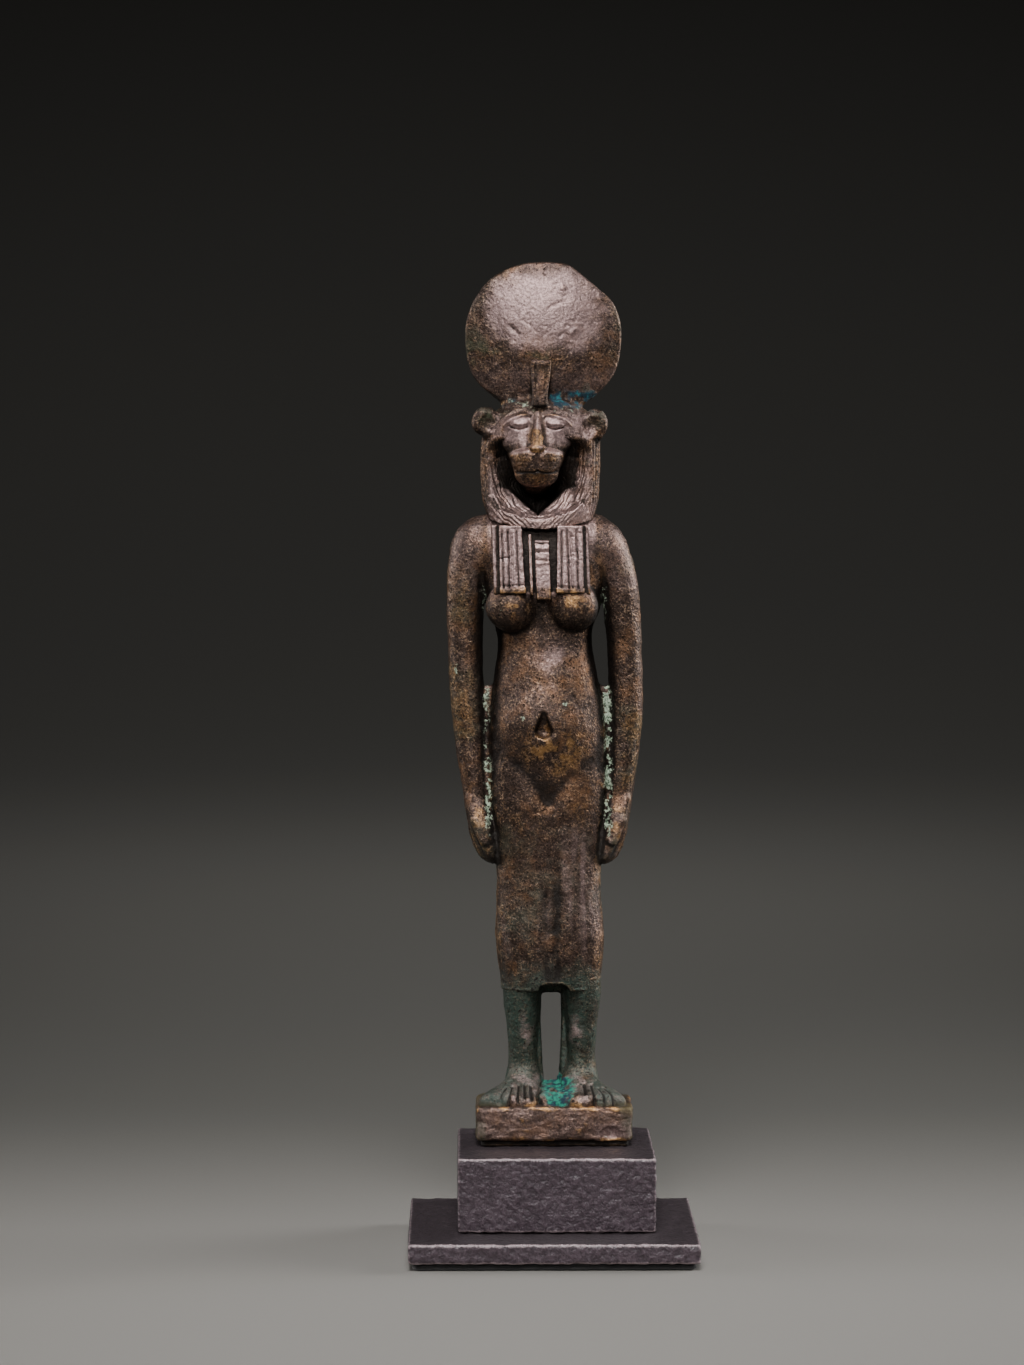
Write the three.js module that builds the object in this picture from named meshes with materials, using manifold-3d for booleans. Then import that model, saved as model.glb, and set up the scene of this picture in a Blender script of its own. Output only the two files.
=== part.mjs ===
// Bronze figure of a standing lioness-headed goddess with a sun disk, on a stepped painted stand.
// Millimetres, +Z up, the front of the figure faces -Y and +X is to the viewer's right.
// The origin is at the centre of the stand's underside.

import * as THREE from 'three';
import { mergeVertices } from 'three/addons/utils/BufferGeometryUtils.js';
import { LoftGeometry } from 'three/addons/geometries/LoftGeometry.js';
import Module from 'manifold-3d';

// Driving dimensions in millimetres

// Height of the figure from its soles to the top of the disk
const FIGURE_HEIGHT = 143.5;

// Sun disk
const DISK_RADIUS = 13.35;
const DISK_RIM_THICKNESS = 2.6;
const DISK_CENTRE_THICKNESS = 8;

// Bronze plinth that is cast in one with the feet
const PLINTH_WIDTH = 26.6;
const PLINTH_DEPTH = 16;
const PLINTH_HEIGHT = 6;
const PLINTH_FRONT_CORNER_RADIUS = 1.3;
const PLINTH_BACK_CORNER_RADIUS = 3;
const PLINTH_EDGE_ROUNDING = 0.55;
const PLINTH_FOOT_HEIGHT = 0.85;
const PLINTH_FOOT_INSET = 0.8;

// Upper and lower step of the stand
const BLOCK_WIDTH = 33.5;
const BLOCK_DEPTH = 32;
const BLOCK_HEIGHT = 12.75;
const PLATE_WIDTH = 48.8;
const PLATE_DEPTH = 43;
const PLATE_HEIGHT = 3.55;
const STAND_EDGE_ROUNDING = 0.45;

// Felt pad under the plate
const PAD_THICKNESS = 1.1;
const PAD_INSET = 0.8;

// Where the steps and the figure sit: everything is set back from the middle of the step below
const BLOCK_SHIFT_X = 0.6;
const BLOCK_SHIFT_Y = 3.85;
const PLINTH_SHIFT_X = -0.15;
const PLINTH_SHIFT_Y = 3.2;

// The body's axis stands behind the middle of the plinth, because the feet point forwards
const BODY_SETBACK = 1.5;

// How far the feet sink into the plinth, as one casting
const CASTING_OVERLAP = 0.6;

// Finishes
const BRONZE = { color: 0x6a5344, roughness: 0.45, metalness: 0.85 };
const PAINT = { color: 0x4f434b, roughness: 0.6, metalness: 0 };
const FELT = { color: 0x14110f, roughness: 1, metalness: 0 };

// Every place and width of the figure below is in these parts of FIGURE_HEIGHT
const FIGURE_PARTS = 100;
const UNIT = FIGURE_HEIGHT / FIGURE_PARTS;

// Levels of the stack
const padTop = PAD_THICKNESS;
const plateTop = padTop + PLATE_HEIGHT;
const blockTop = plateTop + BLOCK_HEIGHT;
const plinthUnderside = blockTop + PLINTH_FOOT_HEIGHT;
const plinthTop = plinthUnderside + PLINTH_HEIGHT;
const plinthX = BLOCK_SHIFT_X + PLINTH_SHIFT_X;
const plinthY = BLOCK_SHIFT_Y + PLINTH_SHIFT_Y;

const wasm = await Module();
wasm.setup();

// Helpers

/** Smoothly interpolates rows of [position, value, value, ...] and returns the values at a position. */
function stationCurve(rows) {
  const width = rows[0].length - 1;
  const positions = rows.map((row) => row[0]);
  const values = rows.flatMap((row) => row.slice(1));
  const interpolant = new THREE.CubicInterpolant(
    new Float32Array(positions), new Float32Array(values), width);
  return (position) => Array.from(interpolant.evaluate(position));
}

/** A bell curve that is 1 at the centre and falls off over the given width. */
function bell(value, centre, width) {
  const offset = (value - centre) / width;
  return Math.exp(-offset * offset);
}

/** Rises smoothly from 0 to 1 as the value goes from start to end, in either direction. */
function ramp(value, start, end) {
  return THREE.MathUtils.smoothstep((value - start) / (end - start), 0, 1);
}

/** The lean of the figure's midline to the viewer's left, by height. */
const midlineCurve = stationCurve([
  [0, -0.3], [15, -0.4], [27, -0.65], [45, -0.8], [58, -1.2], [74, -1.65], [90, -1.3],
  [FIGURE_PARTS, -1.25],
]);

function midline(height) {
  return midlineCurve(THREE.MathUtils.clamp(height, 0, FIGURE_PARTS))[0];
}

/** A point of the figure, given in parts of its height from the middle of its soles. */
function figurePoint(x, y, height) {
  return new THREE.Vector3(
    plinthX + x * UNIT,
    plinthY + BODY_SETBACK + y * UNIT,
    plinthTop + height * UNIT,
  );
}

/** Turns a closed geometry into a solid for joining and cutting. */
function toSolid(geometry) {
  const bare = new THREE.BufferGeometry();
  bare.setAttribute('position', geometry.getAttribute('position').clone());
  bare.setIndex(geometry.index);
  const merged = mergeVertices(bare, 1e-4);
  return new wasm.Manifold(new wasm.Mesh({
    numProp: 3,
    vertProperties: new Float32Array(merged.attributes.position.array),
    triVerts: new Uint32Array(merged.index.array),
  }));
}

/** Turns a joined solid back into a geometry. */
function toGeometry(solid) {
  const mesh = solid.getMesh();
  const geometry = new THREE.BufferGeometry();
  geometry.setAttribute('position', new THREE.BufferAttribute(mesh.vertProperties, 3));
  geometry.setIndex(new THREE.BufferAttribute(mesh.triVerts, 1));
  geometry.computeVertexNormals();
  return geometry;
}

/**
 * One level section of a rounded body: half width, depth to the front and to the back, and how square it is.
 * The relief function moves each point outwards along its own direction from the section's centre.
 */
function levelSection(shape, columns, relief) {
  const { height, x, y, halfWidth, front, back, squareness } = shape;
  const points = [];
  for (let column = 0; column < columns.back + columns.front; column++) {
    const atBack = column < columns.back;
    const angle = atBack
      ? (column / columns.back) * Math.PI
      : (1 + (column - columns.back) / columns.front) * Math.PI;
    const across = Math.sign(Math.cos(angle)) * Math.abs(Math.cos(angle)) ** (2 / squareness);
    const along = Math.sign(Math.sin(angle)) * Math.abs(Math.sin(angle)) ** (2 / squareness);
    const localX = across * halfWidth;
    const localY = along * (along < 0 ? front : back);
    const push = relief ? relief(localX, localY, height, angle) : 0;
    points.push(figurePoint(
      x + localX + push * Math.cos(angle),
      y + localY + push * Math.sin(angle),
      height,
    ));
  }
  return points;
}

// How much closer together the sections of a body stand towards its two ends
const END_CROWDING = 0.4;

/** A closed body through level sections, which stand closer together towards its ends. */
function levelLoft(rows, stepCount, columns, options) {
  const curve = stationCurve(rows);
  const lowest = rows[0][0];
  const highest = rows[rows.length - 1][0];
  const sections = [];
  for (let step = 0; step <= stepCount; step++) {
    const even = step / stepCount;
    const crowded = (1 - Math.cos(even * Math.PI)) / 2;
    const share = THREE.MathUtils.lerp(even, crowded, END_CROWDING);
    const height = THREE.MathUtils.lerp(lowest, highest, share);
    const shape = options.shape(curve(height), height);
    sections.push(levelSection({ height, ...shape }, columns, options.relief));
  }
  return toSolid(new LoftGeometry(sections, { capStart: true, capEnd: true }));
}

/** A ball stretched along the three axes, in the figure's own units. */
function ellipsoid(centre, radii, segments) {
  const geometry = new THREE.SphereGeometry(1, segments, Math.round(segments / 2));
  geometry.rotateX(Math.PI / 2);
  geometry.scale(radii[0] * UNIT, radii[1] * UNIT, radii[2] * UNIT);
  const place = figurePoint(...centre);
  geometry.translate(place.x, place.y, place.z);
  return toSolid(geometry);
}

// Torso and dress

const TORSO_STATIONS = [
  // height, half width, front, back, squareness
  [13.4, 5.8, 3.3, 3.4, 2.7],
  [16.7, 6.25, 3.5, 3.5, 2.6],
  [19.7, 6.5, 3.7, 3.6, 2.6],
  [23.7, 6.25, 3.75, 3.8, 2.5],
  [27.4, 6.05, 3.9, 4.2, 2.4],
  [32.2, 6.45, 4.3, 5.0, 2.3],
  [37.3, 6.65, 4.7, 5.3, 2.3],
  [43.3, 6.6, 5.0, 4.5, 2.2],
  [47.8, 6.4, 4.9, 3.8, 2.2],
  [51.3, 5.95, 4.5, 3.6, 2.2],
  [54.2, 5.5, 4.15, 3.7, 2.2],
  [56.5, 5.8, 4.2, 3.9, 2.2],
  [58.8, 6.65, 4.4, 4.2, 2.3],
  [62.3, 7.35, 4.6, 4.6, 2.4],
  [66, 7.95, 4.4, 4.6, 2.4],
  [68, 7.6, 3.9, 4.2, 2.3],
  [69.6, 5.9, 3.4, 3.7, 2.1],
  [71.2, 3.8, 3.1, 3.3, 2],
];
const TORSO_STEPS = 34;
const TORSO_COLUMNS = { back: 7, front: 20 };

// Soft hollows and swellings of the torso: how deep, where, and how far they reach
const NAVEL = { depth: 0.45, x: -0.15, width: 0.7, height: 44.6, tall: 1.3 };
const BELLY = { depth: -0.35, x: 0, width: 3.4, height: 44.5, tall: 5.5 };
const BUTTOCK_CLEFT = { depth: 0.45, x: 0, width: 0.8, height: 34, tall: 5 };
const SPINE = { depth: 0.3, x: 0, width: 1, height: 50, tall: 9 };
const THIGH_GROOVE = { depth: 0.5, backShare: 0.7, x: 0.1, width: 0.9, fadeHigh: 30, fadeLow: 25 };

// The creases between belly and thighs rise from the middle to the hips
const GROIN_CREASE = { depth: 0.45, height: 36.6, rise: 0.78, tall: 0.9, fadeOuter: 6, fadeInner: 4 };

/** How deep a soft hollow is at a place: a bell across and a bell up and down. */
function hollow({ depth, x: centre, width, height: level, tall }, x, height) {
  return depth * bell(x, centre, width) * bell(height, level, tall);
}

/** Relief of the torso: belly, navel and creases in front, cleft and spine at the back. */
function torsoRelief(x, y, height) {
  const atFront = y < 0;
  const side = Math.abs(x);
  const thighs = THIGH_GROOVE.depth * bell(x, THIGH_GROOVE.x, THIGH_GROOVE.width)
    * ramp(height, THIGH_GROOVE.fadeHigh, THIGH_GROOVE.fadeLow);
  if (!atFront) {
    const cleft = hollow(BUTTOCK_CLEFT, x, height);
    return -THIGH_GROOVE.backShare * thighs - cleft - hollow(SPINE, x, height);
  }
  const creaseHeight = GROIN_CREASE.height + GROIN_CREASE.rise * side;
  const crease = GROIN_CREASE.depth * bell(height, creaseHeight, GROIN_CREASE.tall)
    * ramp(side, GROIN_CREASE.fadeOuter, GROIN_CREASE.fadeInner);
  return -thighs - crease - hollow(NAVEL, x, height) - hollow(BELLY, x, height);
}

function makeTorso() {
  return levelLoft(TORSO_STATIONS, TORSO_STEPS, TORSO_COLUMNS, {
    shape: ([halfWidth, front, back, squareness], height) => (
      { x: midline(height), y: 0, halfWidth, front, back, squareness }),
    relief: torsoRelief,
  });
}

// Breasts

const BREAST = { x: 3.8, y: -3.5, height: 59.9, radii: [2.65, 2.5, 2.75], segments: 12 };

function makeBreast(side) {
  const x = midline(BREAST.height) + side * BREAST.x;
  return ellipsoid([x, BREAST.y, BREAST.height], BREAST.radii, BREAST.segments);
}

// Arms and legs are almost round
const LIMB_SQUARENESS = 2.1;

// Arms, held straight down with the hands against the thighs

const ARM_STATIONS = [
  // height, distance from the midline, forward or back, half width, half depth
  [28.1, 6.6, -0.6, 0.5, 0.9],
  [29.2, 6.95, -0.6, 1.05, 1.75],
  [31.0, 7.4, -0.6, 1.4, 2.25],
  [32.8, 7.85, -0.55, 1.6, 2.4],
  [34.7, 8.25, -0.45, 1.6, 2.05],
  [36.3, 8.5, -0.35, 1.52, 1.65],
  [38.8, 8.8, -0.2, 1.65, 1.75],
  [42.3, 9.1, 0, 1.85, 1.95],
  [46.3, 9.4, 0.1, 2.0, 2.1],
  [50.3, 9.5, 0.2, 2.05, 2.15],
  [54.3, 9.5, 0.3, 2.07, 2.2],
  [58.3, 9.35, 0.3, 2.2, 2.35],
  [62.3, 9.05, 0.2, 2.35, 2.55],
  [65.3, 8.7, 0.1, 2.45, 2.7],
  [67.3, 8.3, 0.05, 2.35, 2.5],
  [68.8, 7.8, 0, 1.8, 2.0],
  [69.8, 7.3, 0, 0.9, 1.0],
];
const ARM_STEPS = 18;
const ARM_COLUMNS = { back: 6, front: 6 };

function makeArm(side) {
  return levelLoft(ARM_STATIONS, ARM_STEPS, ARM_COLUMNS, {
    shape: ([x, y, halfWidth, halfDepth], height) => ({
      x: midline(height) + side * x,
      y, halfWidth, front: halfDepth, back: halfDepth, squareness: LIMB_SQUARENESS,
    }),
  });
}

const THUMB = {
  root: { x: 8.75, y: -2, height: 34.4 }, tip: { x: 7.5, y: -2.5, height: 31.3 },
  radius: 0.6, capSegments: 3, sides: 8,
};

/** The thumb lies along the front of the hand. */
function makeThumb(side) {
  const [from, to] = [THUMB.root, THUMB.tip].map(({ x, y, height }) => (
    figurePoint(midline(height) + side * x, y, height)));
  const path = new THREE.LineCurve3(from, to);
  const thumb = new THREE.CapsuleGeometry(
    THUMB.radius * UNIT, path.getLength(), THUMB.capSegments, THUMB.sides, 1);
  thumb.rotateX(Math.PI / 2);
  const turn = new THREE.Quaternion().setFromUnitVectors(new THREE.Vector3(0, 0, 1), path.getTangent(0));
  thumb.applyQuaternion(turn);
  const middle = path.getPoint(0.5);
  thumb.translate(middle.x, middle.y, middle.z);
  return toSolid(thumb);
}

const WEB = {
  low: 31, lowInner: 5.6, lowOuter: 8.6, high: 49.4, highInner: 6, highOuter: 9.2, halfThickness: 0.7,
};

/** Corrosion fills the gap between arm and body below the elbow. */
function makeWeb(side) {
  const outline = [
    [WEB.lowInner, WEB.low], [WEB.lowOuter, WEB.low], [WEB.highOuter, WEB.high], [WEB.highInner, WEB.high],
  ];
  const sections = outline.map(([x, height]) => [-1, 1].map((depth) => (
    figurePoint(midline(height) + side * x, depth * WEB.halfThickness, height))));
  const [lowInner, lowOuter, highOuter, highInner] = sections;
  const rings = [
    [lowInner[0], lowOuter[0], lowOuter[1], lowInner[1]],
    [highInner[0], highOuter[0], highOuter[1], highInner[1]],
  ];
  if (side < 0) rings.forEach((ring) => ring.reverse());
  return toSolid(new LoftGeometry(rings, { capStart: true, capEnd: true }));
}

// Legs and feet

const LEG_STATIONS = [
  // height, half width, half depth, forward or back
  [0.5, 2.3, 2.4, 0.8],
  [3, 2.15, 2.3, 0.8],
  [5, 2.03, 2.15, 0.8],
  [8, 2.1, 2.3, 0.7],
  [11, 2.4, 2.6, 0.5],
  [13.3, 2.55, 2.75, 0.4],
  [16, 2.6, 2.85, 0.2],
];
const LEG_SPREAD = 3.2;
const LEG_STEPS = 6;
const LEG_COLUMNS = { back: 6, front: 6 };

function makeLeg(side) {
  return levelLoft(LEG_STATIONS, LEG_STEPS, LEG_COLUMNS, {
    shape: ([halfWidth, halfDepth, y], height) => ({
      x: midline(height) + side * LEG_SPREAD,
      y, halfWidth, front: halfDepth, back: halfDepth, squareness: LIMB_SQUARENESS,
    }),
  });
}

const FOOT_STATIONS = [
  // forward or back, distance from the midline, half width, height
  [3.35, 3.3, 1.1, 1.2],
  [2.8, 3.3, 1.9, 2.8],
  [1.6, 3.3, 2.25, 4.0],
  [0, 3.4, 2.4, 3.9],
  [-1.5, 3.65, 2.6, 3.2],
  [-3, 4.2, 3.0, 2.45],
  [-4.4, 4.95, 3.45, 1.9],
  [-5.4, 5.25, 3.5, 1.5],
  [-6.0, 5.3, 3.3, 1.05],
  [-6.3, 5.3, 3.0, 0.5],
];
const FOOT_STEPS = 10;

// Below 1, the sides and the top of a foot are fuller than a half circle
const FOOT_SIDE_POWER = 0.85;
const FOOT_TOP_POWER = 0.8;
const TOE_COUNT = 5;
const TOE_POINTS = 3;
const TOE_GROOVE = { depth: 0.42, start: 3.4, full: 4.6 };

/** Foot sections stand upright and follow each other from the heel to the toes. */
function makeFoot(side) {
  const curve = stationCurve(FOOT_STATIONS.map(([y, ...rest]) => [-y, ...rest]));
  const heel = FOOT_STATIONS[0][0];
  const toe = FOOT_STATIONS[FOOT_STATIONS.length - 1][0];
  const arcPoints = TOE_COUNT * TOE_POINTS;
  const sections = [];
  for (let step = 0; step <= FOOT_STEPS; step++) {
    const y = THREE.MathUtils.lerp(heel, toe, step / FOOT_STEPS);
    const [distance, halfWidth, height] = curve(-y);
    const toeDepth = TOE_GROOVE.depth * ramp(-y, TOE_GROOVE.start, TOE_GROOVE.full);
    const section = [];
    for (let point = 0; point <= arcPoints; point++) {
      const share = point / arcPoints;
      const angle = share * Math.PI;
      const across = -Math.sign(Math.cos(angle)) * Math.abs(Math.cos(angle)) ** FOOT_SIDE_POWER;
      const groove = toeDepth * Math.cos(share * TOE_COUNT * Math.PI) ** 2 * Math.sin(angle);
      section.push(figurePoint(
        midline(0) + side * distance + across * halfWidth,
        y,
        height * Math.sin(angle) ** FOOT_TOP_POWER - groove,
      ));
    }
    const low = -CASTING_OVERLAP / UNIT;
    section.push(figurePoint(midline(0) + side * distance + halfWidth, y, low));
    section.push(figurePoint(midline(0) + side * distance - halfWidth, y, low));
    sections.push(section.reverse());
  }
  return toSolid(new LoftGeometry(sections, { capStart: true, capEnd: true }));
}

const FOOT_CRUST = { x: 0.5, y: -1.7, height: -0.4, radii: [2.9, 4.5, 3.2], segments: 10 };

/** Corrosion that fills the space between the feet. */
function makeFootCrust() {
  const { x, y, height, radii, segments } = FOOT_CRUST;
  return ellipsoid([midline(0) + x, y, height], radii, segments);
}

// Wig

const WIG_STATIONS = [
  // height, half width, front, back, squareness
  [68.6, 5.75, 4.7, 5.3, 2.5],
  [69.8, 6.25, 4.4, 5.5, 2.5],
  [71.3, 6.7, 4.0, 5.7, 2.4],
  [73.8, 7.0, 3.7, 5.8, 2.3],
  [76.8, 7.05, 3.6, 5.9, 2.2],
  [79.3, 6.9, 3.8, 5.9, 2.2],
  [81.2, 6.3, 4.0, 5.4, 2.2],
  [82.6, 5.0, 3.7, 4.4, 2.1],
  [83.6, 3.2, 2.4, 3.0, 2],
  [83.9, 1.2, 1.0, 1.3, 2],
];
const WIG_STEPS = 11;
const WIG_COLUMNS = { back: 20, front: 20 };
const STRANDS = { relief: 0.16, fadeHigh: 83, fadeLow: 81 };

// The face sits slightly to the viewer's left of the wig's middle
const FACE_OFFSET_X = -0.45;

/** Strands run down the wig. */
function wigRelief(x, y, height, angle) {
  const strandColumn = Math.round((angle / Math.PI) * WIG_COLUMNS.back);
  return STRANDS.relief * (strandColumn % 2 ? 1 : -1) * ramp(height, STRANDS.fadeHigh, STRANDS.fadeLow);
}

// The wig opens around the face, deep beside the muzzle and running to a point under the chin
const WIG_OPENING = [
  { height: 77.0, y: -4.3, radii: [6.0, 2.8, 5.0] },
  { height: 73.6, y: -4.5, radii: [4.3, 2.8, 3.9] },
];
const WIG_OPENING_SEGMENTS = 16;

function makeWig() {
  const hair = levelLoft(WIG_STATIONS, WIG_STEPS, WIG_COLUMNS, {
    shape: ([halfWidth, front, back, squareness], height) => (
      { x: midline(height), y: 0, halfWidth, front, back, squareness }),
    relief: wigRelief,
  });
  return WIG_OPENING.reduce((left, { height, y, radii }) => left.subtract(
    ellipsoid([midline(height) + FACE_OFFSET_X, y, height], radii, WIG_OPENING_SEGMENTS)), hair);
}

const TRESS_GROOVE_DEPTH = 0.28;

/** A flat tress with grooves along it, hanging down and lying on the body. */
function makeTress({ left, right, low, high, yLow, yHigh, thickness, grooves }) {
  const count = grooves * 2 + 2;
  const face = (height, y, top) => {
    const points = [];
    for (let index = 0; index <= count; index++) {
      const x = THREE.MathUtils.lerp(left, right, index / count);
      const grooved = index % 2 === 0 && index > 0 && index < count;
      points.push([x, y + (grooved ? Math.sign(thickness) * TRESS_GROOVE_DEPTH : 0)]);
    }
    points.push([right, y + thickness], [left, y + thickness]);
    return points.map(([x, depth]) => figurePoint(midline(top) + x, depth, height));
  };
  const rings = [face(low, yLow, low), face(high, yHigh, high)];
  if (thickness < 0) rings.forEach((ring) => ring.reverse());
  return toSolid(new LoftGeometry(rings, { capStart: true, capEnd: true }));
}

const FRONT_TRESS = {
  inner: 2.05, outer: 5.2, low: 60.7, high: 69.4, yLow: -5.75, yHigh: -4.75, thickness: 3, grooves: 4,
};
const BACK_TRESS = {
  halfWidth: 4.6, low: 60.8, high: 70, yLow: 5.3, yHigh: 5.6, thickness: -3, grooves: 8,
};
const COLLAR_PANEL = {
  halfWidth: 1.1, low: 59.9, high: 67.2, yLow: -5.2, yHigh: -4.8, thickness: 2.5, grooves: 1,
};

function makeTresses() {
  const { inner, outer } = FRONT_TRESS;
  const centred = [BACK_TRESS, COLLAR_PANEL].map((tress) => (
    makeTress({ ...tress, left: -tress.halfWidth, right: tress.halfWidth })));
  return [
    makeTress({ ...FRONT_TRESS, left: -outer, right: -inner }),
    makeTress({ ...FRONT_TRESS, left: inner, right: outer }),
    ...centred,
  ];
}

// Lioness head

const FACE_STATIONS = [
  // height, half width, front without the muzzle, muzzle in front of that, half width of the muzzle
  [72.8, 2.1, 3.0, 0.6, 1.6],
  [73.6, 3.0, 3.8, 1.4, 2.3],
  [74.5, 3.6, 4.1, 1.7, 2.7],
  [75.7, 4.05, 4.2, 2.0, 3.1],
  [76.9, 4.4, 4.3, 2.2, 2.9],
  [77.8, 4.65, 4.35, 1.9, 1.9],
  [78.8, 4.85, 4.4, 1.1, 1.05],
  [79.9, 4.9, 4.35, 0.7, 0.75],
  [81.0, 4.7, 4.2, 0.45, 0.9],
  [82.0, 4.2, 3.9, 0.3, 1.4],
  [82.9, 3.0, 3.2, 0.15, 1.4],
];
const FACE_STEPS = 24;
const FACE_FRONT_COLUMNS = 22;
const FACE_BACK_COLUMNS = 4;
const FACE_SQUARENESS = 2.8;
const FACE_HALF_DEPTH_BEHIND = 2;
const FACE_EDGE_FADE = 0.9;
const MUZZLE_EDGE = 0.55;
const MOUTH = { depth: 0.4, height: 75.15, tall: 0.32, end: 3.1, fade: 2.3 };

// Forms on each half of the face, as hollows whose depth is below 0 where they stand out
const FACE_FORMS = [
  { depth: -0.3, x: 0, width: 1.1, height: 77.3, tall: 0.5 },
  { depth: 0.5, x: 2.1, width: 1.2, height: 79.7, tall: 1 },
  { depth: -0.55, x: 2.1, width: 1, height: 80.7, tall: 0.55 },
  { depth: -0.3, x: 2.3, width: 1.7, height: 81.9, tall: 0.3 },
  { depth: -0.3, x: 3.7, width: 0.8, height: 78.7, tall: 1.1 },
];

/** How far the lioness's face stands forward of its plain rounded form. */
function faceRelief(side, height, muzzle, muzzleHalfWidth) {
  const snout = muzzle * ramp(side, muzzleHalfWidth + MUZZLE_EDGE, muzzleHalfWidth - MUZZLE_EDGE);
  const mouth = MOUTH.depth * bell(height, MOUTH.height, MOUTH.tall) * ramp(side, MOUTH.end, MOUTH.fade);
  return FACE_FORMS.reduce((relief, form) => relief - hollow(form, side, height), snout - mouth);
}

/** Muzzle with its mouth line, cheeks, and eyes under a heavy brow. */
function makeHead() {
  const curve = stationCurve(FACE_STATIONS);
  const lowest = FACE_STATIONS[0][0];
  const highest = FACE_STATIONS[FACE_STATIONS.length - 1][0];
  const sections = [];
  for (let step = 0; step <= FACE_STEPS; step++) {
    const height = THREE.MathUtils.lerp(lowest, highest, step / FACE_STEPS);
    const [halfWidth, front, muzzle, muzzleHalfWidth] = curve(height);
    const centreX = midline(height) + FACE_OFFSET_X;
    const section = [];
    for (let column = 0; column <= FACE_FRONT_COLUMNS; column++) {
      const share = -Math.cos((column / FACE_FRONT_COLUMNS) * Math.PI);
      const side = Math.abs(share) * halfWidth;
      const plain = front * (1 - Math.abs(share) ** FACE_SQUARENESS) ** (1 / FACE_SQUARENESS);
      const edgeFade = ramp(Math.abs(share), 1, FACE_EDGE_FADE);
      const relief = faceRelief(side, height, muzzle, muzzleHalfWidth) * edgeFade;
      section.push(figurePoint(centreX + share * halfWidth, -plain - relief, height));
    }
    for (let column = 1; column < FACE_BACK_COLUMNS; column++) {
      const angle = (column / FACE_BACK_COLUMNS) * Math.PI;
      section.push(figurePoint(
        centreX + Math.cos(angle) * halfWidth, Math.sin(angle) * FACE_HALF_DEPTH_BEHIND, height));
    }
    sections.push(section);
  }
  return toSolid(new LoftGeometry(sections, { capStart: true, capEnd: true }));
}

const EAR = { x: 6.6, y: -2.2, height: 81.0, radii: [1.6, 1.15, 1.65], segments: 10 };
const EAR_HOLLOW = { forward: 1.1, lower: 0.1, radii: [0.95, 0.9, 1.0], segments: 8 };

/** A round ear with a hollow that faces forwards. */
function makeEar(side) {
  const x = midline(EAR.height) + side * EAR.x;
  const outer = ellipsoid([x, EAR.y, EAR.height], EAR.radii, EAR.segments);
  const centre = [x, EAR.y - EAR_HOLLOW.forward, EAR.height - EAR_HOLLOW.lower];
  return outer.subtract(ellipsoid(centre, EAR_HOLLOW.radii, EAR_HOLLOW.segments));
}

// Rearing cobra on the brow

const COBRA = {
  x: -0.28, low: 82.4, high: 88.3, topHalfWidth: 1.2, lowHalfWidth: 0.95,
  yLow: -4.15, yHigh: -4, thickness: 2.4,
  crestShare: 0.6, grooveShare: 0.35, grooveDepth: 0.25, edgeSetBack: 0.3,
  shoulderDrop: 0.4, tipShare: 0.9, tipSetBack: 0.3,
};

/** The raised hood of the cobra, with a shallow groove down its front. */
function makeCobra() {
  const ring = (height, halfWidth, y) => {
    const x = midline(height) + COBRA.x;
    const edge = [halfWidth, y + COBRA.edgeSetBack];
    const crest = [halfWidth * COBRA.crestShare, y];
    const groove = [halfWidth * COBRA.grooveShare, y + COBRA.grooveDepth];
    const behind = [halfWidth, y + COBRA.thickness];
    const rightHalf = [groove, crest, edge, behind];
    const leftHalf = rightHalf.toReversed().map(([px, py]) => [-px, py]);
    return [...leftHalf.slice(1), ...rightHalf, leftHalf[0]].map(([px, py]) => (
      figurePoint(x + px, py, height)));
  };
  return toSolid(new LoftGeometry([
    ring(COBRA.low, COBRA.lowHalfWidth, COBRA.yLow),
    ring(COBRA.high - COBRA.shoulderDrop, COBRA.topHalfWidth, COBRA.yHigh),
    ring(COBRA.high, COBRA.topHalfWidth * COBRA.tipShare, COBRA.yHigh + COBRA.tipSetBack),
  ], { capStart: true, capEnd: true }));
}

// Sun disk

const DISK_SEGMENTS = 36;
const DISK_RINGS = 3;

// The disk's upper half is slightly squarer than a circle
const DISK_SQUARENESS = 2.15;
const DISK_CHIP = { angle: 0.88, depth: 0.65 };
const DISK_PLACE = { x: -1.32, y: 0.1 };

// The rim is rounded off: the faces end short of it, and its band is thinner than the rim
const DISK_FACE_SHORTFALL = 0.25;
const DISK_RIM_BAND = 0.5;
const diskCentre = figurePoint(DISK_PLACE.x, DISK_PLACE.y, FIGURE_PARTS);
diskCentre.z -= DISK_RADIUS;

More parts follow.
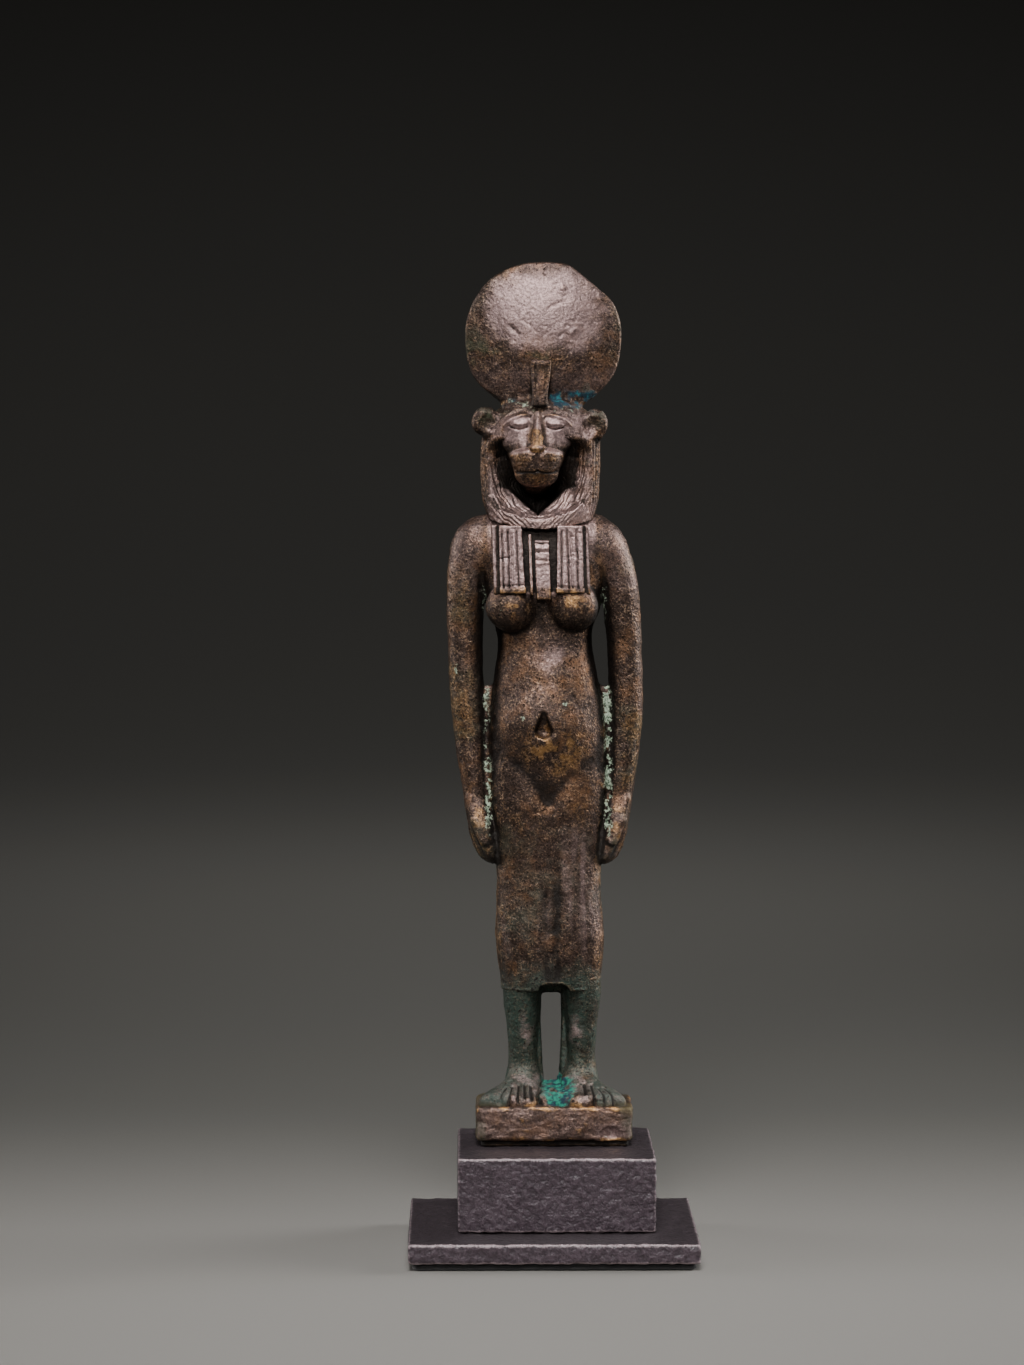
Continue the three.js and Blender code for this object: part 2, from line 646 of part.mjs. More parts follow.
/** A lens: thin at the rim and domed on both faces, with a worn flat at the upper right. */
function makeDisk() {
  const rimHalf = DISK_RIM_THICKNESS / 2;
  const dome = DISK_CENTRE_THICKNESS / 2 - rimHalf;
  const profile = [new THREE.Vector2(0, -rimHalf - dome)];
  const faceRadius = DISK_RADIUS - DISK_FACE_SHORTFALL * rimHalf;
  for (let ring = 1; ring <= DISK_RINGS; ring++) {
    const share = ring / DISK_RINGS;
    profile.push(new THREE.Vector2(faceRadius * share, -rimHalf - dome * (1 - share * share)));
  }
  profile.push(new THREE.Vector2(DISK_RADIUS, -rimHalf * DISK_RIM_BAND));
  const otherFace = profile.slice().reverse().map((point) => new THREE.Vector2(point.x, -point.y));
  const lathe = new THREE.LatheGeometry([...profile, ...otherFace], DISK_SEGMENTS);
  const position = lathe.getAttribute('position');
  for (let index = 0; index < position.count; index++) {
    const across = position.getX(index);
    const up = position.getZ(index);
    const radius = Math.hypot(across, up);
    if (up <= 0 || radius === 0) continue;
    const fuller = ((Math.abs(across) / radius) ** DISK_SQUARENESS
      + (up / radius) ** DISK_SQUARENESS) ** (-1 / DISK_SQUARENESS);
    position.setXYZ(index, across * fuller, position.getY(index), up * fuller);
  }
  lathe.translate(diskCentre.x, diskCentre.y, diskCentre.z);
  const chip = new THREE.BoxGeometry(DISK_RADIUS, DISK_CENTRE_THICKNESS * 2, DISK_RADIUS);
  chip.translate(DISK_RADIUS * 1.5 - DISK_CHIP.depth, 0, 0);
  chip.rotateY(-DISK_CHIP.angle);
  chip.translate(diskCentre.x, diskCentre.y, diskCentre.z);
  return toSolid(lathe).subtract(toSolid(chip));
}

// Plinth and stand

const SHARPEST_CORNER = 0.05;

/** A block with rounded upright corners and a small rounding along its top and bottom edges. */
function roundedBlock({
  width, depth, height, frontRadius, backRadius, edgeRounding, cornerSegments, edgeSegments,
}) {
  const halfWidth = width / 2 - edgeRounding;
  const halfDepth = depth / 2 - edgeRounding;
  const front = Math.max(frontRadius - edgeRounding, SHARPEST_CORNER);
  const back = Math.max(backRadius - edgeRounding, SHARPEST_CORNER);
  const quarter = Math.PI / 2;
  const outline = new THREE.Shape();
  outline.absarc(halfWidth - front, -halfDepth + front, front, -quarter, 0);
  outline.absarc(halfWidth - back, halfDepth - back, back, 0, quarter);
  outline.absarc(-halfWidth + back, halfDepth - back, back, quarter, 2 * quarter);
  outline.absarc(-halfWidth + front, -halfDepth + front, front, 2 * quarter, 3 * quarter);
  const geometry = new THREE.ExtrudeGeometry(outline, {
    depth: height - 2 * edgeRounding,
    bevelEnabled: edgeRounding > 0,
    bevelThickness: edgeRounding,
    bevelSize: edgeRounding,
    bevelSegments: edgeSegments,
    curveSegments: cornerSegments,
  });
  geometry.translate(0, 0, edgeRounding);
  return geometry;
}

// The chip in the plinth's front, in millimetres from its right end and its underside
const PLINTH_CHIP = { fromEnd: 3.4, height: 1.1, radii: [2.3, 0.42, 1.8], segments: 10, rings: 6 };
const PLINTH_SEGMENTS = { cornerSegments: 4, edgeSegments: 2 };
const PLINTH_FOOT_SEGMENTS = { cornerSegments: 2, edgeSegments: 1 };

/** The plinth with its inset underside and the chip at its lower right front corner. */
function makePlinth() {
  const radii = { frontRadius: PLINTH_FRONT_CORNER_RADIUS, backRadius: PLINTH_BACK_CORNER_RADIUS };
  const body = roundedBlock({
    width: PLINTH_WIDTH, depth: PLINTH_DEPTH, height: PLINTH_HEIGHT,
    ...radii, edgeRounding: PLINTH_EDGE_ROUNDING, ...PLINTH_SEGMENTS,
  });
  body.translate(plinthX, plinthY, plinthUnderside);
  const foot = roundedBlock({
    width: PLINTH_WIDTH - 2 * PLINTH_FOOT_INSET,
    depth: PLINTH_DEPTH - 2 * PLINTH_FOOT_INSET,
    height: PLINTH_FOOT_HEIGHT + CASTING_OVERLAP,
    ...radii, edgeRounding: 0, ...PLINTH_FOOT_SEGMENTS,
  });
  foot.translate(plinthX, plinthY, blockTop);
  const chip = new THREE.SphereGeometry(1, PLINTH_CHIP.segments, PLINTH_CHIP.rings);
  chip.scale(...PLINTH_CHIP.radii);
  chip.translate(
    plinthX + PLINTH_WIDTH / 2 - PLINTH_CHIP.fromEnd,
    plinthY - PLINTH_DEPTH / 2,
    plinthUnderside + PLINTH_CHIP.height,
  );
  return toSolid(body).add(toSolid(foot)).subtract(toSolid(chip));
}

function makeMesh(name, geometry, finish) {
  const mesh = new THREE.Mesh(geometry, new THREE.MeshStandardMaterial(finish));
  mesh.name = name;
  return mesh;
}

function makeFigure() {
  const pieces = [
    makePlinth(), makeTorso(), makeWig(), makeHead(), makeCobra(), makeDisk(), makeFootCrust(),
    ...makeTresses(),
  ];
  for (const side of [-1, 1]) {
    pieces.push(
      makeBreast(side), makeArm(side), makeThumb(side), makeWeb(side), makeLeg(side), makeFoot(side),
      makeEar(side));
  }
  const casting = pieces.reduce((joined, piece) => joined.add(piece));
  return makeMesh('sekhmet_figure', toGeometry(casting), BRONZE);
}

const STAND_SEGMENTS = { cornerSegments: 1, edgeSegments: 2 };

/** One step of the stand, with crisp edges that are only just rounded. */
function makeStandStep(name, width, depth, height) {
  const geometry = roundedBlock({
    width, depth, height, frontRadius: STAND_EDGE_ROUNDING, backRadius: STAND_EDGE_ROUNDING,
    edgeRounding: STAND_EDGE_ROUNDING, ...STAND_SEGMENTS,
  });
  return makeMesh(name, geometry, PAINT);
}

function makeStandBlock() {
  const block = makeStandStep('stand_block', BLOCK_WIDTH, BLOCK_DEPTH, BLOCK_HEIGHT);
  block.position.set(BLOCK_SHIFT_X, BLOCK_SHIFT_Y, plateTop);
  return block;
}

function makeStandPlate() {
  const plate = makeStandStep('stand_plate', PLATE_WIDTH, PLATE_DEPTH, PLATE_HEIGHT);
  plate.position.set(0, 0, padTop);
  return plate;
}

function makeFeltPad() {
  const geometry = new THREE.BoxGeometry(
    PLATE_WIDTH - 2 * PAD_INSET, PLATE_DEPTH - 2 * PAD_INSET, PAD_THICKNESS);
  const mesh = makeMesh('stand_felt_pad', geometry, FELT);
  mesh.position.set(0, 0, PAD_THICKNESS / 2);
  return mesh;
}

const group = new THREE.Group();
group.name = 'sekhmet_statue';
group.add(makeFigure(), makeStandBlock(), makeStandPlate(), makeFeltPad());

export default group;
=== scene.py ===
"""Looks of the bronze lioness-headed goddess on its painted stand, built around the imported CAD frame.

The bronze is carved as fields of distance: each piece has a function that is negative inside it, a net of
quads is laid over its surface, and fine carving then moves the surface in and out. Places on the figure are
in hundredths of its height, measured from its leaning midline, its axis and the soles of its feet.
"""

import logging
import math
from dataclasses import dataclass, field
from enum import Enum
from typing import Sequence

import bpy
import numpy as np
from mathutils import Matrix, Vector

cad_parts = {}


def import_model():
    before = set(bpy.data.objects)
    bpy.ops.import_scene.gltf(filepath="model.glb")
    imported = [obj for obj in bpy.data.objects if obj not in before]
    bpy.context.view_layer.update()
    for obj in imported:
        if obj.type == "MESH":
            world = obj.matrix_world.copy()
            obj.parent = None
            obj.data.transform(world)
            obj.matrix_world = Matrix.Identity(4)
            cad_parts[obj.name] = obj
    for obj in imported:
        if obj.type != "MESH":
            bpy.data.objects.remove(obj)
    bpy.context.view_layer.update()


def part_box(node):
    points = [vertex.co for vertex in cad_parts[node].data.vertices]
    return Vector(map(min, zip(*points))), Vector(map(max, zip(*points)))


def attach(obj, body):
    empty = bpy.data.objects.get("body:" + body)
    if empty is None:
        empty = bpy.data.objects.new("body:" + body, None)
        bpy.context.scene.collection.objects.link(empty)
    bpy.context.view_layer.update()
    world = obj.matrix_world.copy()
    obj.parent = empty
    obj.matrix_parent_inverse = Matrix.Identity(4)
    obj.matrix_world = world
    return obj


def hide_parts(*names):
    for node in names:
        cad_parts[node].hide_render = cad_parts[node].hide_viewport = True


LOG = logging.getLogger("sekhmet")
MILLIMETRE = 0.001

Array = np.ndarray
Place = Sequence[np.ndarray]
Point = tuple[float, float, float]
Colour = tuple[float, float, float, float]


class Slot(Enum):
    """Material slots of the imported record."""

    BRONZE = "bronze"
    PAINT = "stand_paint"
    FELT = "felt"


# Numbers that shape a field


def ramp(value: Array, start: float, end: float) -> Array:
    """Rises smoothly from 0 to 1 as a value goes from start to end, in either direction.

    Args:
        value: What is measured.
        start: Where the rise begins.
        end: Where it is complete.

    Returns:
        Shares from 0 to 1.
    """
    share = np.clip((value - start) / (end - start), 0.0, 1.0)
    return share * share * (3.0 - 2.0 * share)


def bell(value: Array, centre: float, width: float) -> Array:
    """A bell curve that is 1 at the centre and falls off over the given width."""
    return np.exp(-(((value - centre) / width) ** 2))


def join(first: Array, second: Array, radius: float) -> Array:
    """Joins two solids with a fillet.

    Args:
        first: Distances to one solid.
        second: Distances to the other.
        radius: Width of the fillet.

    Returns:
        Distances to both together.
    """
    share = np.clip(0.5 + 0.5 * (second - first) / radius, 0.0, 1.0)
    return second + (first - second) * share - radius * share * (1.0 - share)


def cut(solid: Array, hole: Array, radius: float) -> Array:
    """Takes one solid out of another and rounds the edge by a radius."""
    return -join(-solid, hole, radius)


def keep(solid: Array, other: Array, radius: float) -> Array:
    """Keeps what two solids share and rounds the edge by a radius."""
    return -join(-solid, -other, radius)


@dataclass(frozen=True)
class Ball:
    """A ball stretched along the axes."""

    centre: Point
    radii: Point

    def at(self, place: Place) -> Array:
        """Distances to the ball.

        Args:
            place: Arrays of x, y and height.

        Returns:
            Distances, negative inside.
        """
        spans = [(value - middle) / radius for value, middle, radius in zip(place, self.centre, self.radii)]
        near = np.sqrt(sum(span * span for span in spans))
        slope = np.sqrt(sum((span / radius) ** 2 for span, radius in zip(spans, self.radii)))
        return near * (near - 1.0) / np.maximum(slope, 1e-4)


@dataclass(frozen=True)
class Rod:
    """A rod with round ends, which may differ in radius."""

    start: Point
    end: Point
    radii: tuple[float, float]

    def at(self, place: Place) -> Array:
        """Distances to the rod.

        Args:
            place: Arrays of x, y and height.

        Returns:
            Distances, negative inside.
        """
        along = [b - a for a, b in zip(self.start, self.end)]
        reach = sum(step * step for step in along)
        share = sum((value - a) * step for value, a, step in zip(place, self.start, along)) / reach
        share = np.clip(share, 0.0, 1.0)
        gaps = [value - a - share * step for value, a, step in zip(place, self.start, along)]
        radius = self.radii[0] + (self.radii[1] - self.radii[0]) * share
        return np.sqrt(sum(gap * gap for gap in gaps)) - radius


def rounded_box(place: Place, centre: Sequence, half: Sequence, rounding: float) -> Array:
    """Distances to a box with rounded edges.

    Args:
        place: Arrays of x, y and height.
        centre: Middle of the box, where each part may vary over the place.
        half: Half sizes, which may vary too.
        rounding: Radius of the edges.

    Returns:
        Distances, negative inside.
    """
    beyond = [np.abs(value - middle) - (size - rounding) for value, middle, size in zip(place, centre, half)]
    outside = np.sqrt(sum(np.maximum(part, 0.0) ** 2 for part in beyond))
    inside = np.minimum(np.maximum(np.maximum(beyond[0], beyond[1]), beyond[2]), 0.0)
    return outside + inside - rounding


def level_body(
    x: Array, y: Array, half_width: Array, front: Array, back: Array, squareness: Array
) -> Array:
    """Distances to an upright body whose level sections are rounded boxes.

    Args:
        x: Across, from the section's middle.
        y: Forward or back, from the section's middle.
        half_width: Half width of the section.
        front: Depth towards the front, which is -y.
        back: Depth towards the back.
        squareness: 2 for an ellipse, more for a squarer section.

    Returns:
        Distances, negative inside.
    """
    depth = np.where(y < 0.0, front, back)
    across = np.abs(x) / half_width
    along = np.abs(y) / depth
    reach = (across**squareness + along**squareness) ** (1.0 / squareness)
    return (reach - 1.0) * np.minimum(half_width, depth)


@dataclass(frozen=True)
class Stations:
    """A smooth curve through rows of a position and the values there."""

    rows: tuple[tuple[float, ...], ...]

    def at(self, position: Array) -> list[Array]:
        """Values of each column at the given positions.

        Args:
            position: Where to read the curve. It is held within the first and last row.

        Returns:
            One array for each column after the first.
        """
        table = np.array(self.rows, np.float64)
        stops, values = table[:, 0], table[:, 1:]
        slopes = np.gradient(values, stops, axis=0)
        held = np.clip(position, stops[0], stops[-1])
        index = np.clip(np.searchsorted(stops, held) - 1, 0, len(stops) - 2)
        span = (stops[index + 1] - stops[index])[..., None]
        share = (held - stops[index])[..., None] / span
        square, cube = share**2, share**3
        result = (
            (2 * cube - 3 * square + 1) * values[index]
            + (cube - 2 * square + share) * span * slopes[index]
            + (3 * square - 2 * cube) * values[index + 1]
            + (cube - square) * span * slopes[index + 1]
        )
        return [result[..., column].astype(np.float32) for column in range(values.shape[1])]


TABLE_SIZE = 4096
SCRAMBLE = (73856093, 19349663, 83492791)


@dataclass(frozen=True)
class Grain:
    """Smooth irregular relief, always the same for one seed."""

    seed: int

    def at(self, place: Place, size: float) -> Array:
        """Relief from -1 to 1.

        Args:
            place: Arrays of x, y and height.
            size: Spacing of the bumps.

        Returns:
            The relief at each place.
        """
        table = np.random.default_rng(self.seed).uniform(-1.0, 1.0, TABLE_SIZE).astype(np.float32)
        scaled = [np.asarray(value, np.float64) / size for value in place]
        cells = [np.floor(value).astype(np.int64) for value in scaled]
        shares = [value - cell for value, cell in zip(scaled, cells)]
        shares = [share**3 * (share * (share * 6.0 - 15.0) + 10.0) for share in shares]
        total = 0.0
        for corner in range(8):
            steps = [(corner >> axis) & 1 for axis in range(3)]
            keys = 0
            for cell, step, factor in zip(cells, steps, SCRAMBLE):
                keys = keys ^ ((cell + step) * factor)
            weight = 1.0
            for share, step in zip(shares, steps):
                weight = weight * (share if step else 1.0 - share)
            total = total + weight * table[keys & (TABLE_SIZE - 1)]
        return total.astype(np.float32)

    def rough(self, place: Place, size: float, layers: int) -> Array:
        """Relief of several sizes together.

        Args:
            place: Arrays of x, y and height.
            size: Spacing of the widest bumps.
            layers: How many sizes are added, each half as wide as the last.

        Returns:
            The relief at each place.
        """
        total = 0.0
        for layer in range(layers):
            total = total + Grain(self.seed + layer).at(place, size / 2**layer) / 2**layer
        return total


@dataclass(frozen=True)
class Stroke:
    """A line carved into the front, or raised from it when its depth is negative."""

    points: tuple[tuple[float, float], ...]
    width: float
    depth: float

    def at(self, x: Array, height: Array) -> Array:
        """How deep the stroke goes.

        Args:
            x: Across.
            height: Height.

        Returns:
            Depths, 0 away from the line.
        """
        nearest = np.full(np.shape(x), 1e6, np.float32)
        for (x0, h0), (x1, h1) in zip(self.points[:-1], self.points[1:]):
            dx, dh = x1 - x0, h1 - h0
            share = np.clip(((x - x0) * dx + (height - h0) * dh) / (dx * dx + dh * dh), 0.0, 1.0)
            gap = np.hypot(x - x0 - share * dx, height - h0 - share * dh)
            nearest = np.minimum(nearest, gap)
        return self.depth * np.exp(-((nearest / self.width) ** 2))


@dataclass(frozen=True)
class Spot:
    """A soft place on the figure, seen from the front."""

    x: float
    height: float
    width: float
    tall: float

    def at(self, x: Array, height: Array) -> Array:
        """Share of the spot, 1 in its middle and fading around it."""
        return bell(x, self.x, self.width) * bell(height, self.height, self.tall)


@dataclass(frozen=True)
class Span:
    """A stretch of one measure with soft ends."""

    start: float
    full: float
    fading: float
    end: float

    def at(self, value: Array) -> Array:
        """Share of the stretch, 1 from full to fading and 0 beyond its ends."""
        return ramp(value, self.start, self.full) * ramp(value, self.end, self.fading)


def carved(strokes: Sequence[Stroke], x: Array, height: Array) -> Array:
    """Depth of all strokes together."""
    return sum(stroke.at(x, height) for stroke in strokes)


# Laying a net of quads over a field


EDGES = tuple(
    (tuple(start), tuple(start[a] + (a == axis) for a in range(3)))
    for axis in range(3)
    for start in np.ndindex(2, 2, 2)
    if start[axis] == 0
)


def surface_net(values: Array, axes: Sequence[Array]) -> tuple[Array, Array]:
    """Lays quads over the surface where a field on a grid changes sign.

    Args:
        values: The field at each grid point.
        axes: Grid positions along x, y and height.

    Returns:
        Vertices, and quads of vertex numbers that turn outwards.
    """
    inside = values < 0.0
    count = np.zeros(tuple(size - 1 for size in inside.shape), np.int8)
    for corner in np.ndindex(2, 2, 2):
        window = tuple(slice(c, size - 1 + c) for c, size in zip(corner, inside.shape))
        count += inside[window]
    active = (count > 0) & (count < 8)
    cells = np.argwhere(active)
    numbers = np.full(active.shape, -1, np.int64)
    numbers[active] = np.arange(len(cells))
    total = np.zeros((len(cells), 3))
    crossings = np.zeros(len(cells))
    for start, end in EDGES:
        first, second = cells + start, cells + end
        value_a = values[tuple(first.T)]
        value_b = values[tuple(second.T)]
        crossing = (value_a < 0.0) != (value_b < 0.0)
        share = np.where(crossing, value_a / np.where(crossing, value_a - value_b, 1.0), 0.0)
        for axis in range(3):
            low, high = axes[axis][first[:, axis]], axes[axis][second[:, axis]]
            total[:, axis] += np.where(crossing, low + share * (high - low), 0.0)
        crossings += crossing
    quads = []
    for axis in range(3):
        side, other = (axis + 1) % 3, (axis + 2) % 3
        window = [slice(1, -1)] * 3
        window[axis] = slice(None, -1)
        first = inside[tuple(window)]
        window[axis] = slice(1, None)
        second = inside[tuple(window)]
        base = np.argwhere(first != second)
        turned = ~first[tuple(base.T)]
        base[:, side] += 1
        base[:, other] += 1
        ring = []
        for step_side, step_other in ((1, 1), (0, 1), (0, 0), (1, 0)):
            cell = base.copy()
            cell[:, side] -= step_side
            cell[:, other] -= step_other
            ring.append(numbers[tuple(cell.T)])
        quad = np.stack(ring, axis=1)
        quad[turned] = quad[turned][:, ::-1]
        quads.append(quad)
    return total / crossings[:, None], np.concatenate(quads)


def evened(points: Array, quads: Array) -> Array:
    """Moves each vertex to the middle of its neighbours.

    Args:
        points: Vertices.
        quads: Quads of vertex numbers.

    Returns:
        The moved vertices.
    """
    starts = quads.ravel()
    ends = np.roll(quads, -1, axis=1).ravel()
    total = np.zeros_like(points)
    for axis in range(3):
        total[:, axis] = np.bincount(starts, points[ends, axis], len(points))
        total[:, axis] += np.bincount(ends, points[starts, axis], len(points))
    number = np.bincount(starts, minlength=len(points)) + np.bincount(ends, minlength=len(points))
    return total / number[:, None]


# Placing the figure


MIDLINE = Stations(
    ((0, -0.3), (15, -0.4), (27, -0.65), (45, -0.8), (58, -1.2), (74, -1.65), (90, -1.3), (100, -1.25))
)


def midline(height: Array) -> Array:
    """The lean of the figure's midline to the viewer's left, by height."""
    return MIDLINE.at(np.asarray(height))[0]


@dataclass
class FigurePlace:
    """Where the bronze stands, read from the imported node's box."""

    unit: float = field(init=False)
    origin: Vector = field(init=False)
    height_with_plinth: float = 104.774
    soles_height: float = 4.774
    from_block_x: float = -0.1045
    from_block_y: float = 3.2753

    def __post_init__(self) -> None:
        """Reads the scale and the middle of the soles from the frame."""
        low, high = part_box("sekhmet_figure")
        block_low, block_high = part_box("stand_block")
        self.unit = (high.z - low.z) / self.height_with_plinth
        middle = (block_low + block_high) / 2
        self.origin = Vector(
            (
                middle.x + self.from_block_x * self.unit,
                middle.y + self.from_block_y * self.unit,
                low.z + self.soles_height * self.unit,
            )
        )

    def to_world(self, points: Array) -> Array:
        """Turns places on the figure into metres.

        Args:
            points: Rows of x from the midline, y from the axis, and height.

        Returns:
            Rows of x, y and z in metres.
        """
        placed = points.copy()
        placed[:, 0] += midline(points[:, 2])
        return placed * self.unit + np.array(self.origin)


def mesh_object(name: str, points: Array, quads: Array, layers: dict[str, Array]) -> bpy.types.Object:
    """Makes a smooth-shaded object.

    Args:
        name: The piece's name.
        points: Vertices in metres.
        quads: Quads of vertex numbers.
        layers: Colour layers of four values for each vertex.

    Returns:
        The new object, linked to the scene.
    """
    mesh = bpy.data.meshes.new(name)
    mesh.vertices.add(len(points))
    mesh.vertices.foreach_set("co", points.astype(np.float32).ravel())
    mesh.loops.add(quads.size)
    mesh.loops.foreach_set("vertex_index", quads.astype(np.int32).ravel())
    mesh.polygons.add(len(quads))
    mesh.polygons.foreach_set("loop_start", np.arange(0, quads.size, 4, dtype=np.int32))
    mesh.update(calc_edges=True)
    mesh.validate()
    mesh.shade_smooth()
    for layer, values in layers.items():
        attribute = mesh.color_attributes.new(layer, "FLOAT_COLOR", "POINT")
        attribute.data.foreach_set("color", np.clip(values, 0.0, 1.0).astype(np.float32).ravel())
    piece = bpy.data.objects.new(name, mesh)
    bpy.context.scene.collection.objects.link(piece)
    return piece


@dataclass
class Carving:
    """One closed piece that is carved as a field."""

    name: str = "carving"
    node: str = "sekhmet_figure"
    slot: Slot = Slot.BRONZE
    low: Point = (-1.0, -1.0, -1.0)
    high: Point = (1.0, 1.0, 1.0)
    cell: float = 0.1
    skin_depth: float = 0.035
    wave_size: float = 1.9
    pit_size: float = 0.62
    grain_size: float = 0.27
    seed: int = 11

    def solid(self, place: Place) -> Array:
        """Distances to the piece's form, negative inside."""
        raise NotImplementedError

    def relief(self, place: Place, facing: Array) -> Array:
        """How far fine carving moves the surface outwards."""
        return np.zeros(len(facing), np.float32)

    def slope(self, points: Array) -> tuple[Array, Array]:
        """Field and its slope at loose points.

        Args:
            points: Rows of x, y and height.

        Returns:
            The field, and its rate of change along each axis.
        """
        step = self.cell * 0.25
        value = self.solid(points.T)
        rates = []
        for axis in range(3):
            moved = points.copy()
            moved[:, axis] += step
            rates.append((self.solid(moved.T) - value) / step)
        return value, np.stack(rates, axis=1)

    def settle(self, points: Array, rounds: int) -> Array:
        """Moves points onto the surface.

        Args:
            points: Rows of x, y and height.
            rounds: How often the step is repeated.

        Returns:
            The moved points.
        """
        for _ in range(rounds):
            value, rate = self.slope(points)
            steepness = np.maximum((rate**2).sum(axis=1), 0.05)
            step = np.clip(value / steepness, -self.cell, self.cell)
            points = points - step[:, None] * rate
        return points

    def skin(self, place: Place) -> Array:
        """Relief of the old cast surface: gentle waves, a fine grain and pits.

        Args:
            place: Arrays of x, y and height.

        Returns:
            How far each point moves outwards.
        """
        waves = Grain(self.seed).rough(place, self.wave_size, 3)
        pits = ramp(Grain(self.seed + 31).rough(place, self.pit_size, 2), 0.55, 1.0)
        fine = Grain(self.seed + 57).at(place, self.grain_size)
        return self.skin_depth * (waves + 0.35 * fine - 1.5 * pits)

    def laid(self) -> tuple[Array, Array, Array, Array]:
        """Lays the net, settles it and carves the fine relief.

        Returns:
            Vertices, quads, the direction each vertex faces, and the relief there.
        """
        axes = [
            np.arange(low, high + self.cell, self.cell, dtype=np.float32)
            for low, high in zip(self.low, self.high)
        ]
        grid = (axes[0][:, None, None], axes[1][None, :, None], axes[2][None, None, :])
        values = np.broadcast_to(self.solid(grid), tuple(len(axis) for axis in axes))
        points, quads = surface_net(np.ascontiguousarray(values), axes)
        points = self.settle(points, 2)
        points = self.settle(0.4 * points + 0.6 * evened(points, quads), 2)
        rate = self.slope(points)[1]
        facing = rate / np.maximum(np.linalg.norm(rate, axis=1), 1e-6)[:, None]
        carving = self.relief(points.T, facing)
        points = points + facing * (carving + self.skin(points.T))[:, None]
        return points, quads, facing, carving

    def hollowness(self, points: Array, facing: Array) -> tuple[Array, Array]:
        """How hidden and how exposed each point of the surface is.

        Args:
            points: Rows of x, y and height.
            facing: Direction each point faces.

        Returns:
            Two shares from 0 to 1: hidden in a hollow, and standing out as an edge.
        """
        hidden = np.zeros(len(points))
        for reach, weight in ((0.35, 0.5), (0.9, 0.5)):
            gap = self.solid((points + facing * reach).T) / reach
            hidden += weight * np.clip(1.0 - gap, 0.0, 1.0)
        depth = 0.4
        inner = -self.solid((points - facing * depth).T) / depth
        return hidden, np.clip(1.0 - inner, 0.0, 1.0)

    def set_in_frame(
        self, points: Array, quads: Array, layers: dict[str, Array], finish: bpy.types.Material
    ) -> bpy.types.Object:
        """Makes the piece's object, attaches it to the root body and hides the node that it stands for.

        Args:
            points: Vertices in metres.
            quads: Quads of vertex numbers.
            layers: Colour layers of four values for each vertex.
            finish: The piece's material.

        Returns:
            The finished object.
        """
        piece = mesh_object(self.name, points, quads, layers)
        piece.data.materials.append(finish)
        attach(piece, "root")
        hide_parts(self.node)
        LOG.info("%s: %d quads", self.name, len(quads))
        return piece


@dataclass
class Surface:
    """What is measured at each point of a carved piece before it is painted."""

    points: Array
    facing: Array
    hidden: Array
    exposed: Array
    lines: Array
    shade: Array
    x: Array = field(init=False)
    y: Array = field(init=False)
    h: Array = field(init=False)
    side: Array = field(init=False)
    front: Array = field(init=False)
    cloud: Array = field(init=False)
    fleck: Array = field(init=False)
    place: Place = field(init=False)

    def __post_init__(self) -> None:
        """Works out the place, the side that faces forward, and irregular patterns."""
        self.x, self.y, self.h = self.points.T
        self.place = (self.x, self.y, self.h)
        self.side = np.abs(self.x)
        self.front = ramp(-self.facing[:, 1], 0.0, 0.5)
        self.cloud = Grain(5).rough(self.place, 5.0, 3)
        self.fleck = Grain(91).rough(self.place, 0.9, 2)


